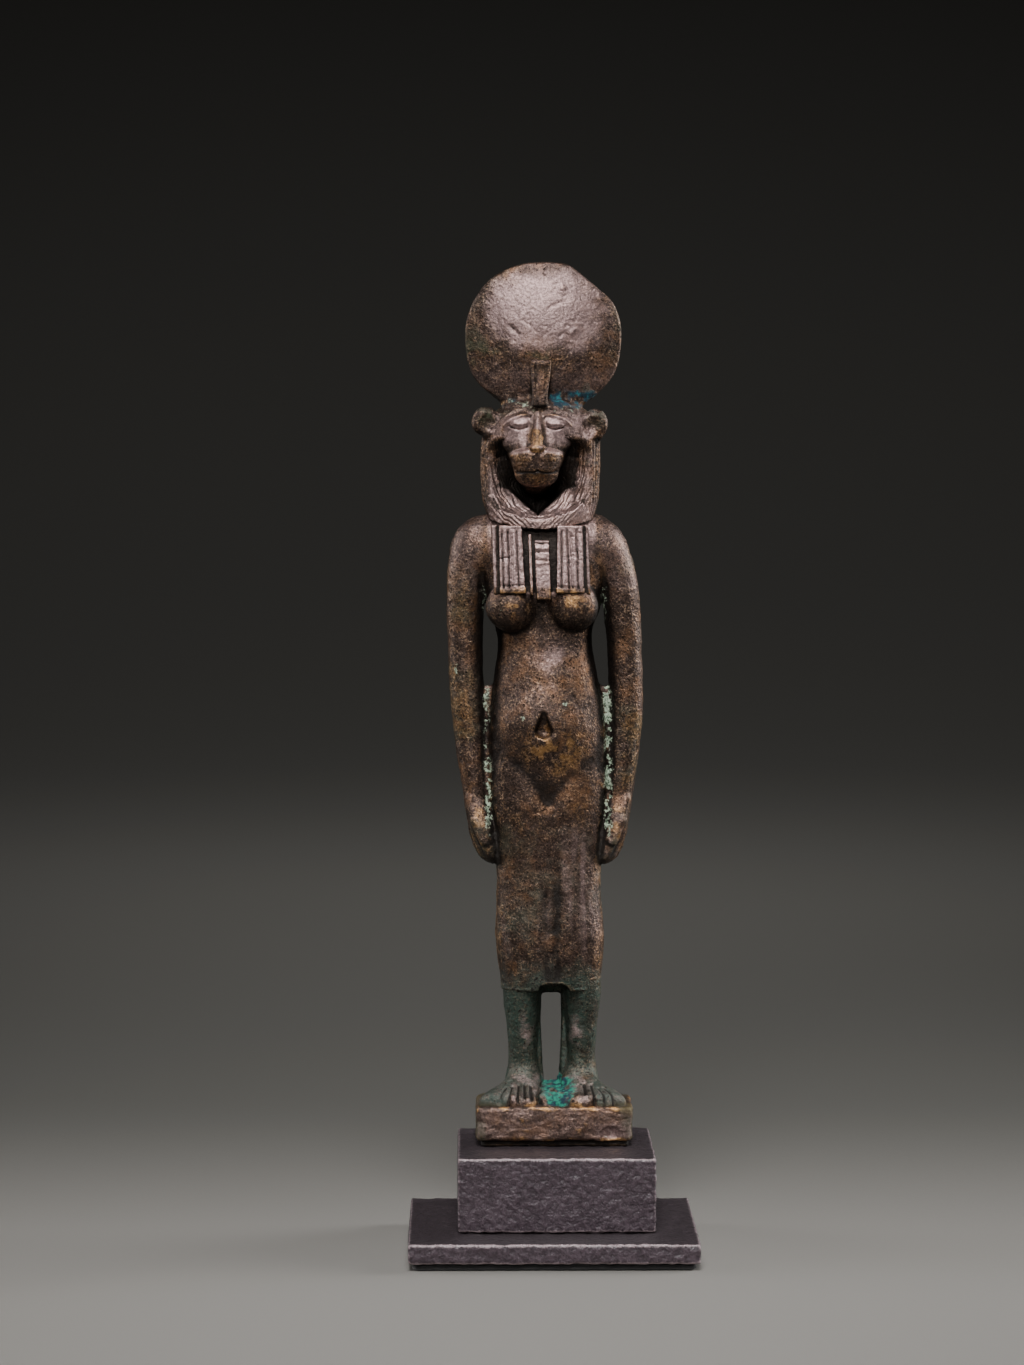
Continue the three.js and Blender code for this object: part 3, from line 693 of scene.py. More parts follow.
@dataclass(frozen=True)
class Patina:
    """Where the bronze is worn, dirty or under corrosion, and where painted shade and pale painted sheen
    fall, by places on the whole figure.
    """

    edge_wear: float
    greened: float
    front_sheen: float
    chalk_spots: tuple[Spot, ...] = (
        Spot(-5.1, 58.4, 0.55, 0.605),
        Spot(-10.4, 51.6, 0.9, 0.99),
        Spot(-10.6, 44.1, 0.4, 0.44),
        Spot(1.9, 47.8, 0.7, 0.77),
        Spot(-2.9, 46.1, 0.4, 0.44),
    )
    scar_chalk: Spot = Spot(6.7, -3.4, 1.1, 0.9)
    scar_pale: Spot = Spot(7.0, -3.3, 1.3, 1.0)
    forearms: Span = Span(30.0, 34.0, 49.0, 50.6)
    upper_arms: Span = Span(52.0, 56.0, 60.0, 66.0)
    cap: Span = Span(81.6, 82.6, 83.6, 84.2)
    disk_foot: Span = Span(80.9, 82.0, 83.6, 86.2)
    left_teal: Spot = Spot(-3.2, 83.6, 1.2, 0.6)
    between_feet: Span = Span(-0.6, 0.0, 2.4, 3.3)
    lower_legs: Span = Span(-1.5, 3.0, 12.0, 20.0)
    green_thighs: Span = Span(13.0, 24.0, 31.0, 37.0)
    foot_edges: Span = Span(-0.1, 0.1, 2.4, 4.0)
    disk_low: Span = Span(82.0, 84.0, 88.0, 93.5)
    brow_ends: Spot = Spot(6.5, 81.0, 1.9, 2.0)
    wig_inside: Spot = Spot(5.8, 75.5, 0.9, 2.6)
    lit_belly: Spot = Spot(-0.3, 39.5, 5.5, 4.5)
    lit_chin: Spot = Spot(-0.5, 74.2, 3.2, 1.8)
    groin: Spot = Spot(0.0, 37.6, 2.2, 2.0)
    navel: Spot = Spot(-0.5, 45.2, 1.6, 2.4)
    belly: Spot = Spot(0.6, 42.4, 4.4, 4.2)
    breast: Spot = Spot(3.5, 59.4, 2.0, 1.9)
    nose: Spot = Spot(-0.5, 79.3, 1.2, 1.5)
    chin: Spot = Spot(-0.5, 74.2, 2.0, 0.9)
    thumb: Spot = Spot(8.1, 33.6, 0.9, 2.8)
    disk_edges: Span = Span(83.5, 86.0, 88.5, 92.0)
    worn_thighs: Span = Span(13.0, 18.0, 27.0, 36.0)
    chest_and_face: Span = Span(59.5, 61.0, 80.0, 84.0)
    eyelids: Span = Span(0.6, 1.2, 3.6, 4.6)
    tresses: Span = Span(60.8, 62.2, 70.5, 73.0)
    pale_legs: Span = Span(14.0, 22.0, 31.0, 37.0)
    toes: Span = Span(0.1, 0.6, 2.8, 3.6)
    shins: Spot = Spot(3.0, 8.2, 0.9, 2.4)

    def chalk(self, here: Surface) -> Array:
        """Chalky green in the gaps beside the arms, on the cap and in a few spots.

        Args:
            here: The measured surface.

        Returns:
            Shares, which may pass 1.
        """
        grit = Grain(95).rough(here.place, 0.5, 2)
        arm_gap = bell(here.side, 7.15, 0.62) * self.forearms.at(here.h)
        upper_gap = bell(here.side, 7.0, 0.85) * self.upper_arms.at(here.h)
        more_on_right = 0.85 + 0.3 * ramp(here.x, -1.0, 1.0)
        chalk = 1.1 * arm_gap * ramp(grit + 0.6 * here.fleck, -1.1, 0.5) * more_on_right
        chalk = chalk + 0.6 * upper_gap * ramp(here.hidden + 0.4 * grit, 0.15, 0.6)
        for spot in self.chalk_spots:
            chalk = chalk + 0.9 * spot.at(here.x, here.h) * ramp(here.fleck, -0.4, 0.3)
        cap = self.cap.at(here.h) * ramp(here.side, 6.0, 5.0) * here.front
        chalk = chalk + 0.62 * cap * ramp(here.fleck + 0.5 * here.cloud, -0.9, 0.5)
        return chalk + 0.5 * self.scar_chalk.at(here.x, here.h) * here.front

    def teal(self, here: Surface) -> Array:
        """Teal at the foot of the disk and turquoise between the feet.

        Args:
            here: The measured surface.

        Returns:
            Shares, which may pass 1.
        """
        disk_foot = self.disk_foot.at(here.h)
        right = bell(here.h + 0.4 * here.cloud, 83.9, 1.3) * ramp(here.x + 0.4 * here.cloud, 0.3, 1.1)
        left = 0.4 * self.left_teal.at(here.x, here.h)
        teal = disk_foot * (right + left) * ramp(here.fleck + 0.6 * here.hidden, -0.6, 0.5)
        between_feet = bell(here.x, 0.8, 1.8) * self.between_feet.at(here.h) * ramp(here.y, -6.0, -5.2)
        return teal + 1.1 * between_feet * ramp(here.fleck, -1.2, 0.1)

    def olive(self, here: Surface) -> Array:
        """Thin green crust, low on the legs, on the feet, the plinth's ends, the disk and the wig.

        Args:
            here: The measured surface.

        Returns:
            Shares, which may pass 1.
        """
        legs = self.lower_legs.at(here.h) * (1.0 + 0.2 * here.cloud)
        legs = legs + 0.8 * self.green_thighs.at(here.h) * (0.8 + 0.4 * here.cloud)
        plinth_ends = 0.55 * ramp(here.h, 1.5, -0.2) * ramp(here.side, 6.5, 9.0) * (0.6 + 0.5 * here.cloud)
        foot_edges = 1.1 * ramp(here.side, 4.8, 6.2) * self.foot_edges.at(here.h)
        disk_low = 0.8 * self.disk_low.at(here.h) * ramp(here.cloud + 0.5 * here.fleck, 0.1, 0.9)
        disk_foot = 0.5 * self.disk_foot.at(here.h) * ramp(here.fleck, -0.6, 0.4)
        disk_rim = 0.5 * ramp(here.h, 86.0, 88.0) * ramp(np.hypot(here.x - 0.3, here.h - 92.0), 6.5, 8.6)
        brow_ends = 0.6 * self.brow_ends.at(here.side, here.h)
        wig_inside = 0.75 * self.wig_inside.at(here.side, here.h) * (here.y < 0.5)
        wig_inside = wig_inside * ramp(here.fleck, -0.8, 0.6)
        upper_arms = 0.6 * ramp(here.side, 7.0, 8.2) * ramp(here.h, 70.0, 64.0) * ramp(here.cloud, -0.6, 0.6)
        low = 0.9 * legs + foot_edges + plinth_ends
        return low + disk_low + disk_foot + disk_rim + brow_ends + wig_inside + upper_arms

    def dirt_and_shade(self, here: Surface) -> Array:
        """Dark grime and painted shade in hollows and grooves, painted shade on undersides except where the
        light reaches, and each piece's own painted shade.

        Args:
            here: The measured surface.

        Returns:
            Shares, which may pass 1.
        """
        # Grime and painted shade in hollows and grooves.
        dirt_and_shade = ramp(here.hidden, 0.08, 0.75) + 0.8 * ramp(-here.lines, 0.15, 1.0)
        # The painted shade is made lighter below the belly.
        dirt_and_shade = dirt_and_shade * (1.0 - 0.35 * self.groin.at(here.x, here.h) * here.front)
        lit_below = self.lit_belly.at(here.x, here.h) + self.lit_chin.at(here.x, here.h)
        # Painted shade on faces that turn downwards, lighter where the belly and chin are lit.
        under = 0.6 * ramp(-here.facing[:, 2], 0.1, 0.6) * (here.h > 0.5)
        return dirt_and_shade + under * (1.0 - 0.8 * lit_below * here.front) + here.shade

    def golden(self, here: Surface) -> Array:
        """Places rubbed to gold: belly, breasts, nose and the plinth's edges, with a painted highlight on
        the chin.

        Args:
            here: The measured surface.

        Returns:
            Shares, which may pass 1.
        """
        form = self.belly.at(here.x, here.h) + self.breast.at(here.side, here.h)
        form = (form + 1.2 * self.nose.at(here.x, here.h)) * here.front
        # Painted highlight: the chin is made golden as if lit.
        chin = 0.55 * self.chin.at(here.x, here.h) * ramp(here.y, -4.0, -4.8)
        plinth_edges = 0.85 * ramp(here.h, 0.6, 0.0) * ramp(here.exposed, 0.05, 0.4)
        return form + chin + plinth_edges * ramp(here.fleck, -1.2, 0.4)

    def wear_and_highlight(self, here: Surface) -> Array:
        """Bare worn metal on the golden places and along edges, with painted highlights on the chin and
        thumbs.

        Args:
            here: The measured surface.

        Returns:
            Shares, which may pass 1.
        """
        bars = 0.9 * bell(here.h, 61.2, 0.45) * ramp(here.side, 6.4, 5.8) * ramp(here.y, -5.2, -5.7)
        # Painted highlight along the thumbs.
        thumbs = 0.9 * self.thumb.at(here.side, here.h) * here.front
        wear_and_highlight = self.golden(here) + 0.45 * self.disk_edges.at(here.h) + bars + thumbs
        streak = Grain(93).rough((here.x, here.y, here.h * 0.3), 1.3, 2)
        thighs = 0.35 * self.worn_thighs.at(here.h) * ramp(streak, -0.5, 0.8)
        arms = 0.6 * ramp(here.side, 7.8, 9.2) * ramp(here.h, 70.0, 62.0)
        wear_and_highlight = wear_and_highlight + (thighs + arms) * ramp(here.cloud, -0.5, 0.7)
        edges = here.exposed * (1.0 - self.navel.at(here.x, here.h))
        wear_and_highlight = wear_and_highlight * ramp(here.fleck + 0.6 * here.cloud, -0.9, 0.5)
        wear_and_highlight = wear_and_highlight + self.edge_wear * ramp(edges, 0.15, 0.5)
        return wear_and_highlight + 0.5 * ramp(here.lines, 0.15, 1.0)

    def pale_front(self, here: Surface) -> Array:
        """Painted sheen on front places of single pieces that are paler: eyelids, cobra, tresses and plinth.

        Args:
            here: The measured surface.

        Returns:
            Shares, which may pass 1.
        """
        eyes = self.eyelids.at(np.abs(here.x + 0.5)) * (0.8 + 0.2 * ramp(here.h, 79.4, 80.2))
        eyes = eyes * ramp(here.h + 0.3 * here.cloud, 77.4, 79.2) * ramp(here.h, 82.1, 81.5)
        pale = np.maximum(np.maximum(eyes, bell(here.h, 86.0, 2.5)), self.tresses.at(here.h))
        plinth = ramp(here.h, 0.3, -0.3) * (1.0 + 1.6 * self.scar_pale.at(here.x, here.h))
        return np.maximum(pale, plinth) * self.front_sheen

    def painted_sheen(self, here: Surface, dirt_and_shade: Array) -> Array:
        """Painted sheen: pale highlights painted on places that face up or forward, and on set places of the
        disk, legs, shins and toes.

        Args:
            here: The measured surface.
            dirt_and_shade: Shares of grime and painted shade, which hide the sheen.

        Returns:
            Shares, which may pass 1.
        """
        # Painted sheen is strongest on faces that look up and forward.
        upward = ramp(here.facing[:, 2] - 0.25 * here.facing[:, 1], -0.05, 0.6)
        flank = bell(here.x - 0.12 * (here.h - 50.0), 1.5, 2.3) * bell(here.h, 50.6, 5.0)
        sheen_places = 0.3 + 0.95 * flank * ramp(here.cloud + 0.6 * here.fleck, -1.0, 0.5)
        upper = 0.9 * self.chest_and_face.at(here.h) * ramp(here.side, 7.0, 6.0)
        painted_sheen = upward * np.maximum(sheen_places, upper) * (0.8 + 0.3 * here.cloud)
        tall = ramp(Grain(89).rough((here.x, here.y, here.h * 0.07), 1.0, 2), -0.1, 0.9)
        legs = self.pale_legs.at(here.h) * (0.16 + 0.36 * tall + 0.12 * ramp(here.x, 1.0, 4.0))
        shoulders = 0.35 * ramp(here.side, 5.8, 7.5) * ramp(here.h, 58.0, 63.0)
        toes = 0.8 * self.toes.at(here.h) * ramp(here.side, 5.8, 4.6)
        feet = 0.6 * (self.shins.at(here.side, here.h) + toes) * ramp(here.fleck, -0.8, 0.2)
        from_middle = np.hypot((here.x - 0.3) / 7.2, (here.h - 94.2) / 5.4)
        disk = 0.85 * ramp(from_middle + 0.12 * here.cloud + 0.1 * here.fleck, 1.3, 0.6)
        low = (legs + shoulders) * ramp(here.h, 71.0, 70.0)
        for places in (self.pale_front(here), low, disk, feet):
            painted_sheen = np.maximum(painted_sheen, here.front * places)
        golden = np.clip(self.golden(here), 0.0, 1.0) * (here.h < 80.2)
        return painted_sheen * ramp(1.0 - dirt_and_shade, 0.0, 0.6) * (1.0 - 0.8 * golden)

    def layers(self, here: Surface) -> dict[str, Array]:
        """Paints all layers.

        Args:
            here: The measured surface.

        Returns:
            The colour layers "crust" (chalk, teal, olive, grime with painted shade) and the layer of worn
            metal and painted light (worn metal with painted highlights, painted sheen, height, 1).
        """
        crust = [self.greened * layer(here) for layer in (self.chalk, self.teal, self.olive)]
        dirt_and_shade = self.dirt_and_shade(here)
        polish_and_painted_light = [self.wear_and_highlight(here), self.painted_sheen(here, dirt_and_shade), here.h / 100.0, np.ones(len(here.h))]
        return {"crust": np.stack([*crust, dirt_and_shade], axis=1), "polish_and_painted_light": np.stack(polish_and_painted_light, axis=1)}


@dataclass
class BronzePiece(Carving):
    """One carved piece of the bronze casting, with its patina, painted shade and painted sheen laid on."""

    line_depth: float = 0.2
    edge_wear: float = 0.6
    greened: float = 1.0
    front_sheen: float = 0.0

    def shade(self, place: Place, facing: Array) -> Array:
        """Painted shade in places that other pieces hide.

        Args:
            place: Arrays of x, y and height. Not used.
            facing: Direction each point faces.

        Returns:
            Shares from 0 to 1.
        """
        return np.zeros(len(facing), np.float32)

    def patina(self, points: Array, facing: Array, carving: Array) -> dict[str, Array]:
        """Measures the carved surface and paints it.

        Args:
            points: Rows of x, y and height.
            facing: Direction each point faces.
            carving: Relief of the fine carving.

        Returns:
            The colour layers.
        """
        hidden, exposed = self.hollowness(points, facing)
        shade = self.shade(points.T, facing)
        surface = Surface(points, facing, hidden, exposed, carving / self.line_depth, shade)
        return Patina(self.edge_wear, self.greened, self.front_sheen).layers(surface)

    def build(self, place: FigurePlace, finish: bpy.types.Material) -> bpy.types.Object:
        """Carves the piece, paints it and sets it in the frame.

        Args:
            place: Where the bronze stands.
            finish: The bronze material.

        Returns:
            The finished object.
        """
        points, quads, facing, carving = self.laid()
        layers = self.patina(points, facing, carving)
        return self.set_in_frame(place.to_world(points), quads, layers, finish)


@dataclass
class SunDisk(BronzePiece):
    """The sun disk: a lens with a thin rim, worn flat at its upper right, on a crusted foot."""

    name: str = "sun_disk"
    low: Point = (-10.6, -4.6, 80.2)
    high: Point = (10.6, 4.6, 100.3)
    cell: float = 0.14
    skin_depth: float = 0.032
    line_depth: float = 0.35
    front_sheen: float = 0.35
    seed: int = 21
    middle_x: float = -1.32
    middle_height: float = 90.697
    radius: float = 9.303
    rim: float = 0.9
    dome: float = 1.9
    squareness: float = 2.15
    worn_depth: float = 0.42
    worn_direction: tuple[float, float] = (0.637, 0.771)
    foot: Ball = Ball((0.0, -0.3, 82.6), (4.9, 3.1, 1.35))
    marks: tuple[Stroke, ...] = (
        Stroke(((0.45, 94.4), (1.3, 94.9), (2.75, 95.4)), 0.2, 0.07),
        Stroke(((1.6, 97.3), (1.2, 96.6), (1.6, 96.0), (2.5, 95.8)), 0.22, 0.05),
        Stroke(((2.25, 96.95), (2.3, 96.9)), 0.36, -0.14),
        Stroke(((-3.9, 92.3), (-3.6, 92.0)), 0.26, 0.17),
        Stroke(((-3.3, 91.7), (-3.0, 91.4)), 0.2, 0.1),
        Stroke(((-2.5, 93.0), (-1.6, 92.4), (-0.8, 91.6)), 0.16, 0.06),
        Stroke(((3.2, 91.5), (3.7, 91.9)), 0.32, -0.1),
        Stroke(((2.9, 91.3), (2.3, 91.5), (1.9, 91.2)), 0.2, 0.08),
        Stroke(((-6.5, 96.0), (-6.0, 95.2)), 0.12, 0.04),
    )

    def solid(self, place: Place) -> Array:
        """Lens, worn flat and foot of the disk.

        Args:
            place: Arrays of x, y and height.

        Returns:
            Distances, negative inside.
        """
        x, y, h = place
        across = x + midline(h) - self.middle_x
        up = h - self.middle_height
        power = self.squareness
        squared = (np.abs(across) ** power + np.abs(up) ** power) ** (1 / power)
        reach = np.where(up > 0.0, squared, np.hypot(across, up))
        low_pinch = 0.55 * ramp(up, -4.0, -8.0)
        face = np.abs(y - 0.1) - self.rim - self.dome * (1.0 - (reach / self.radius) ** 2)
        lens = keep(face * 0.92, reach + low_pinch - self.radius, 0.35)
        worn = across * self.worn_direction[0] + up * self.worn_direction[1]
        lens = keep(lens, worn - (self.radius - self.worn_depth), 0.25)
        return join(lens, self.foot.at(place), 0.9)

    def shade(self, place: Place, facing: Array) -> Array:
        """Painted shade where the cobra stands on the disk."""
        beside = ramp(np.abs(place[0] + 0.28), 2.0, 0.9) * ramp(place[2], 88.9, 88.2)
        return 0.6 * beside * ramp(place[1], 0.0, -1.0)

    def relief(self, place: Place, facing: Array) -> Array:
        """Gouges, lumps and a raised rim line.

        Args:
            place: Arrays of x, y and height.
            facing: Direction each point faces.

        Returns:
            How far each point moves outwards.
        """
        x, _, h = place
        front = ramp(-facing[:, 1], 0.2, 0.6)
        lumps = 0.06 * Grain(17).rough(place, 3.0, 2)
        crust = 0.12 * ramp(h, 85.2, 83.4) * Grain(23).rough(place, 0.7, 2)
        return lumps + crust - front * carved(self.marks, x, h)


@dataclass
class RearingCobra(BronzePiece):
    """The rearing cobra on the brow: a slab with raised rims that leans on the disk."""

    name: str = "rearing_cobra"
    low: Point = (-2.2, -4.9, 81.2)
    high: Point = (1.7, -0.6, 89.2)
    cell: float = 0.08
    skin_depth: float = 0.03
    greened: float = 0.2
    front_sheen: float = 0.25
    edge_wear: float = 0.5
    seed: int = 33
    middle: float = -0.28
    top: float = 88.35
    centre_height: float = 85.6
    half_depth: float = 1.5
    foot: Ball = Ball((0.0, -3.0, 83.1), (1.05, 1.0, 0.55))

    def half_width(self, h: Array) -> Array:
        """Half width of the slab, wider at its top."""
        return 0.86 + 0.34 * ramp(h, 83.0, 88.2)

    def solid(self, place: Place) -> Array:
        """The slab and its swelling foot.

        Args:
            place: Arrays of x, y and height.

        Returns:
            Distances, negative inside.
        """
        x, y, h = place
        place = (x - self.middle, y, h)
        centre = (0.0, -2.55 + 0.05 * (h - 85.0), self.centre_height)
        half = (self.half_width(h), self.half_depth, self.top - self.centre_height)
        return join(rounded_box(place, centre, half, 0.32), self.foot.at(place), 0.5)

    def shade(self, place: Place, facing: Array) -> Array:
        """Dark patina on the slab, left lighter at its middle as a painted highlight."""
        return 0.5 - 0.25 * bell(place[2], 86.2, 1.2) * bell(place[0], self.middle, 0.7)

    def relief(self, place: Place, facing: Array) -> Array:
        """The sunk middle between the raised rims and under the top edge.

        Args:
            place: Arrays of x, y and height.
            facing: Direction each point faces.

        Returns:
            How far each point moves outwards.
        """
        x, _, h = place
        front = ramp(-facing[:, 1], 0.5, 0.8)
        inner = self.half_width(h) - 0.34
        side = np.abs(x - self.middle)
        panel = ramp(side, inner + 0.22, inner - 0.15) * ramp(h, 87.9, 87.4) * ramp(h, 83.4, 85.0)
        swell = 0.1 * bell(x, self.middle, 0.45) * bell(h, 85.4, 1.2)
        return front * (swell - 0.1 * panel)


@dataclass
class LionessFace(BronzePiece):
    """The lioness's face: muzzle box, mouth, chin, nose bridge, closed heavy eyes and cheekbones."""

    name: str = "lioness_face"
    low: Point = (-6.2, -7.4, 71.8)
    high: Point = (5.2, 2.2, 83.6)
    cell: float = 0.082
    skin_depth: float = 0.02
    line_depth: float = 0.4
    front_sheen: float = 1.0
    seed: int = 41
    middle: float = -0.5
    crown: float = 82.8
    jaw: float = 72.5
    muzzle_top: float = 77.95
    muzzle_foot: float = 74.7
    muzzle_half: float = 3.22
    muzzle_depth: float = 3.45
    back_plane: float = 1.6
    chin: Ball = Ball((0.0, -3.55, 74.7), (2.5, 1.85, 1.48))
    bridge: Rod = Rod((0.0, -3.05, 82.6), (0.0, -5.4, 78.3), (0.3, 0.6))
    lid: Ball = Ball((2.1, -3.1, 80.85), (1.8, 1.05, 0.98))
    cheekbone: Ball = Ball((3.3, -2.6, 78.9), (0.7, 0.6, 1.0))
    # Height, half width, depth to the front, squareness
    head: Stations = Stations(
        (
            (72.4, 0.9, 1.6, 2.1),
            (73.6, 1.8, 2.9, 2.1),
            (75.0, 2.6, 3.8, 2.2),
            (76.5, 3.35, 4.3, 2.3),
            (78.0, 3.95, 4.4, 2.4),
            (79.3, 4.5, 4.05, 2.5),
            (80.3, 4.75, 3.8, 2.5),
            (81.3, 4.5, 3.55, 2.4),
            (82.1, 3.8, 3.2, 2.3),
            (82.9, 2.5, 2.4, 2.1),
        )
    )
    half_strokes: tuple[Stroke, ...] = (
        Stroke(((0.8, 82.1), (0.72, 80.9), (0.9, 79.6), (1.3, 78.6)), 0.42, 0.14),
        Stroke(((1.25, 80.45), (1.7, 80.2), (2.2, 80.12), (2.8, 80.25), (3.3, 80.5)), 0.13, 0.17),
        Stroke(((1.2, 80.95), (1.9, 80.75), (2.7, 80.85)), 0.22, -0.08),
        Stroke(((0.9, 81.85), (2.05, 81.75), (3.1, 81.4), (3.9, 80.65), (4.1, 79.7)), 0.2, -0.2),
        Stroke(((1.2, 81.5), (2.1, 81.42), (2.95, 81.1), (3.55, 80.5)), 0.2, 0.06),
        Stroke(((3.2, 80.2), (3.5, 79.8), (3.4, 79.3)), 0.25, 0.07),
        Stroke(((1.0, 78.0), (2.0, 77.85), (2.75, 77.45), (3.05, 76.8)), 0.13, -0.12),
        Stroke(((0.9, 76.75), (1.9, 76.7)), 0.8, -0.12),
        Stroke(((2.3, 75.15), (2.65, 75.5)), 0.2, 0.14),
        Stroke(((1.0, 76.3), (2.2, 76.35)), 0.08, 0.03),
        Stroke(((0.9, 75.85), (2.2, 75.85)), 0.08, 0.03),
    )
    middle_strokes: tuple[Stroke, ...] = (
        Stroke(((-2.5, 75.0), (-1.9, 75.02), (-1.2, 75.14), (-0.25, 75.04), (0.1, 75.18)), 0.12, 0.15),
        Stroke(((0.1, 75.18), (0.9, 75.0), (1.9, 75.0), (2.5, 75.14)), 0.12, 0.15),
        Stroke(((0.0, 77.0), (0.0, 75.4)), 0.3, 0.1),
        Stroke(((-0.75, 77.45), (-0.45, 77.35)), 0.14, 0.12),
        Stroke(((0.45, 77.35), (0.75, 77.45)), 0.14, 0.12),
    )

    def solid(self, place: Place) -> Array:
        """Head, muzzle, chin, nose bridge and lids joined softly.

        Args:
            place: Arrays of x, y and height.

        Returns:
            Distances, negative inside.
        """
        x, y, h = place
        side = np.abs(x - self.middle)
        half = (side, y, h)
        half_width, front, squareness = self.head.at(h)
        form = level_body(side, y + 0.5, half_width, front, np.float32(3.0), squareness)
        form = keep(form, np.maximum(h - self.crown, self.jaw - h), 0.4)
        top = self.muzzle_top - 0.06 * side * side
        wide = self.muzzle_half + 0.28 * (h - 77.0)
        reach = self.muzzle_depth + 0.08 * (h - 76.0)
        muzzle = level_body(side, y + 2.5, wide, reach, np.float32(1.5), np.float32(2.6))
        muzzle = keep(keep(muzzle, h - top, 0.6), self.muzzle_foot - h, 0.9)
        form = join(form, muzzle, 0.3)
        form = join(form, self.chin.at(half), 0.5)
        form = join(form, self.bridge.at(half), 0.5)
        nose_half = (0.85 + 0.5 * (h - self.muzzle_top), 0.75, 0.3)
        nose = rounded_box(half, (0.0, -5.45, self.muzzle_top), nose_half, 0.28)
        form = join(form, nose, 0.25)
        form = join(form, self.lid.at(half), 0.7)
        form = join(form, self.cheekbone.at(half), 1.1)
        return np.maximum(form, y - self.back_plane)

    def relief(self, place: Place, facing: Array) -> Array:
        """Lines of the eyes, nose, mouth and cheeks.

        Args:
            place: Arrays of x, y and height.
            facing: Direction each point faces.

        Returns:
            How far each point moves outwards.
        """
        x, _, h = place
        side = np.abs(x - self.middle)
        front = ramp(-facing[:, 1], 0.0, 0.35)
        lines = carved(self.half_strokes, side, h)
        lines = lines + carved(self.middle_strokes, x - self.middle, h)
        stubble = 0.02 * Grain(47).rough(place, 0.35, 2) * ramp(h, 77.9, 77.2)
        return stubble - front * lines


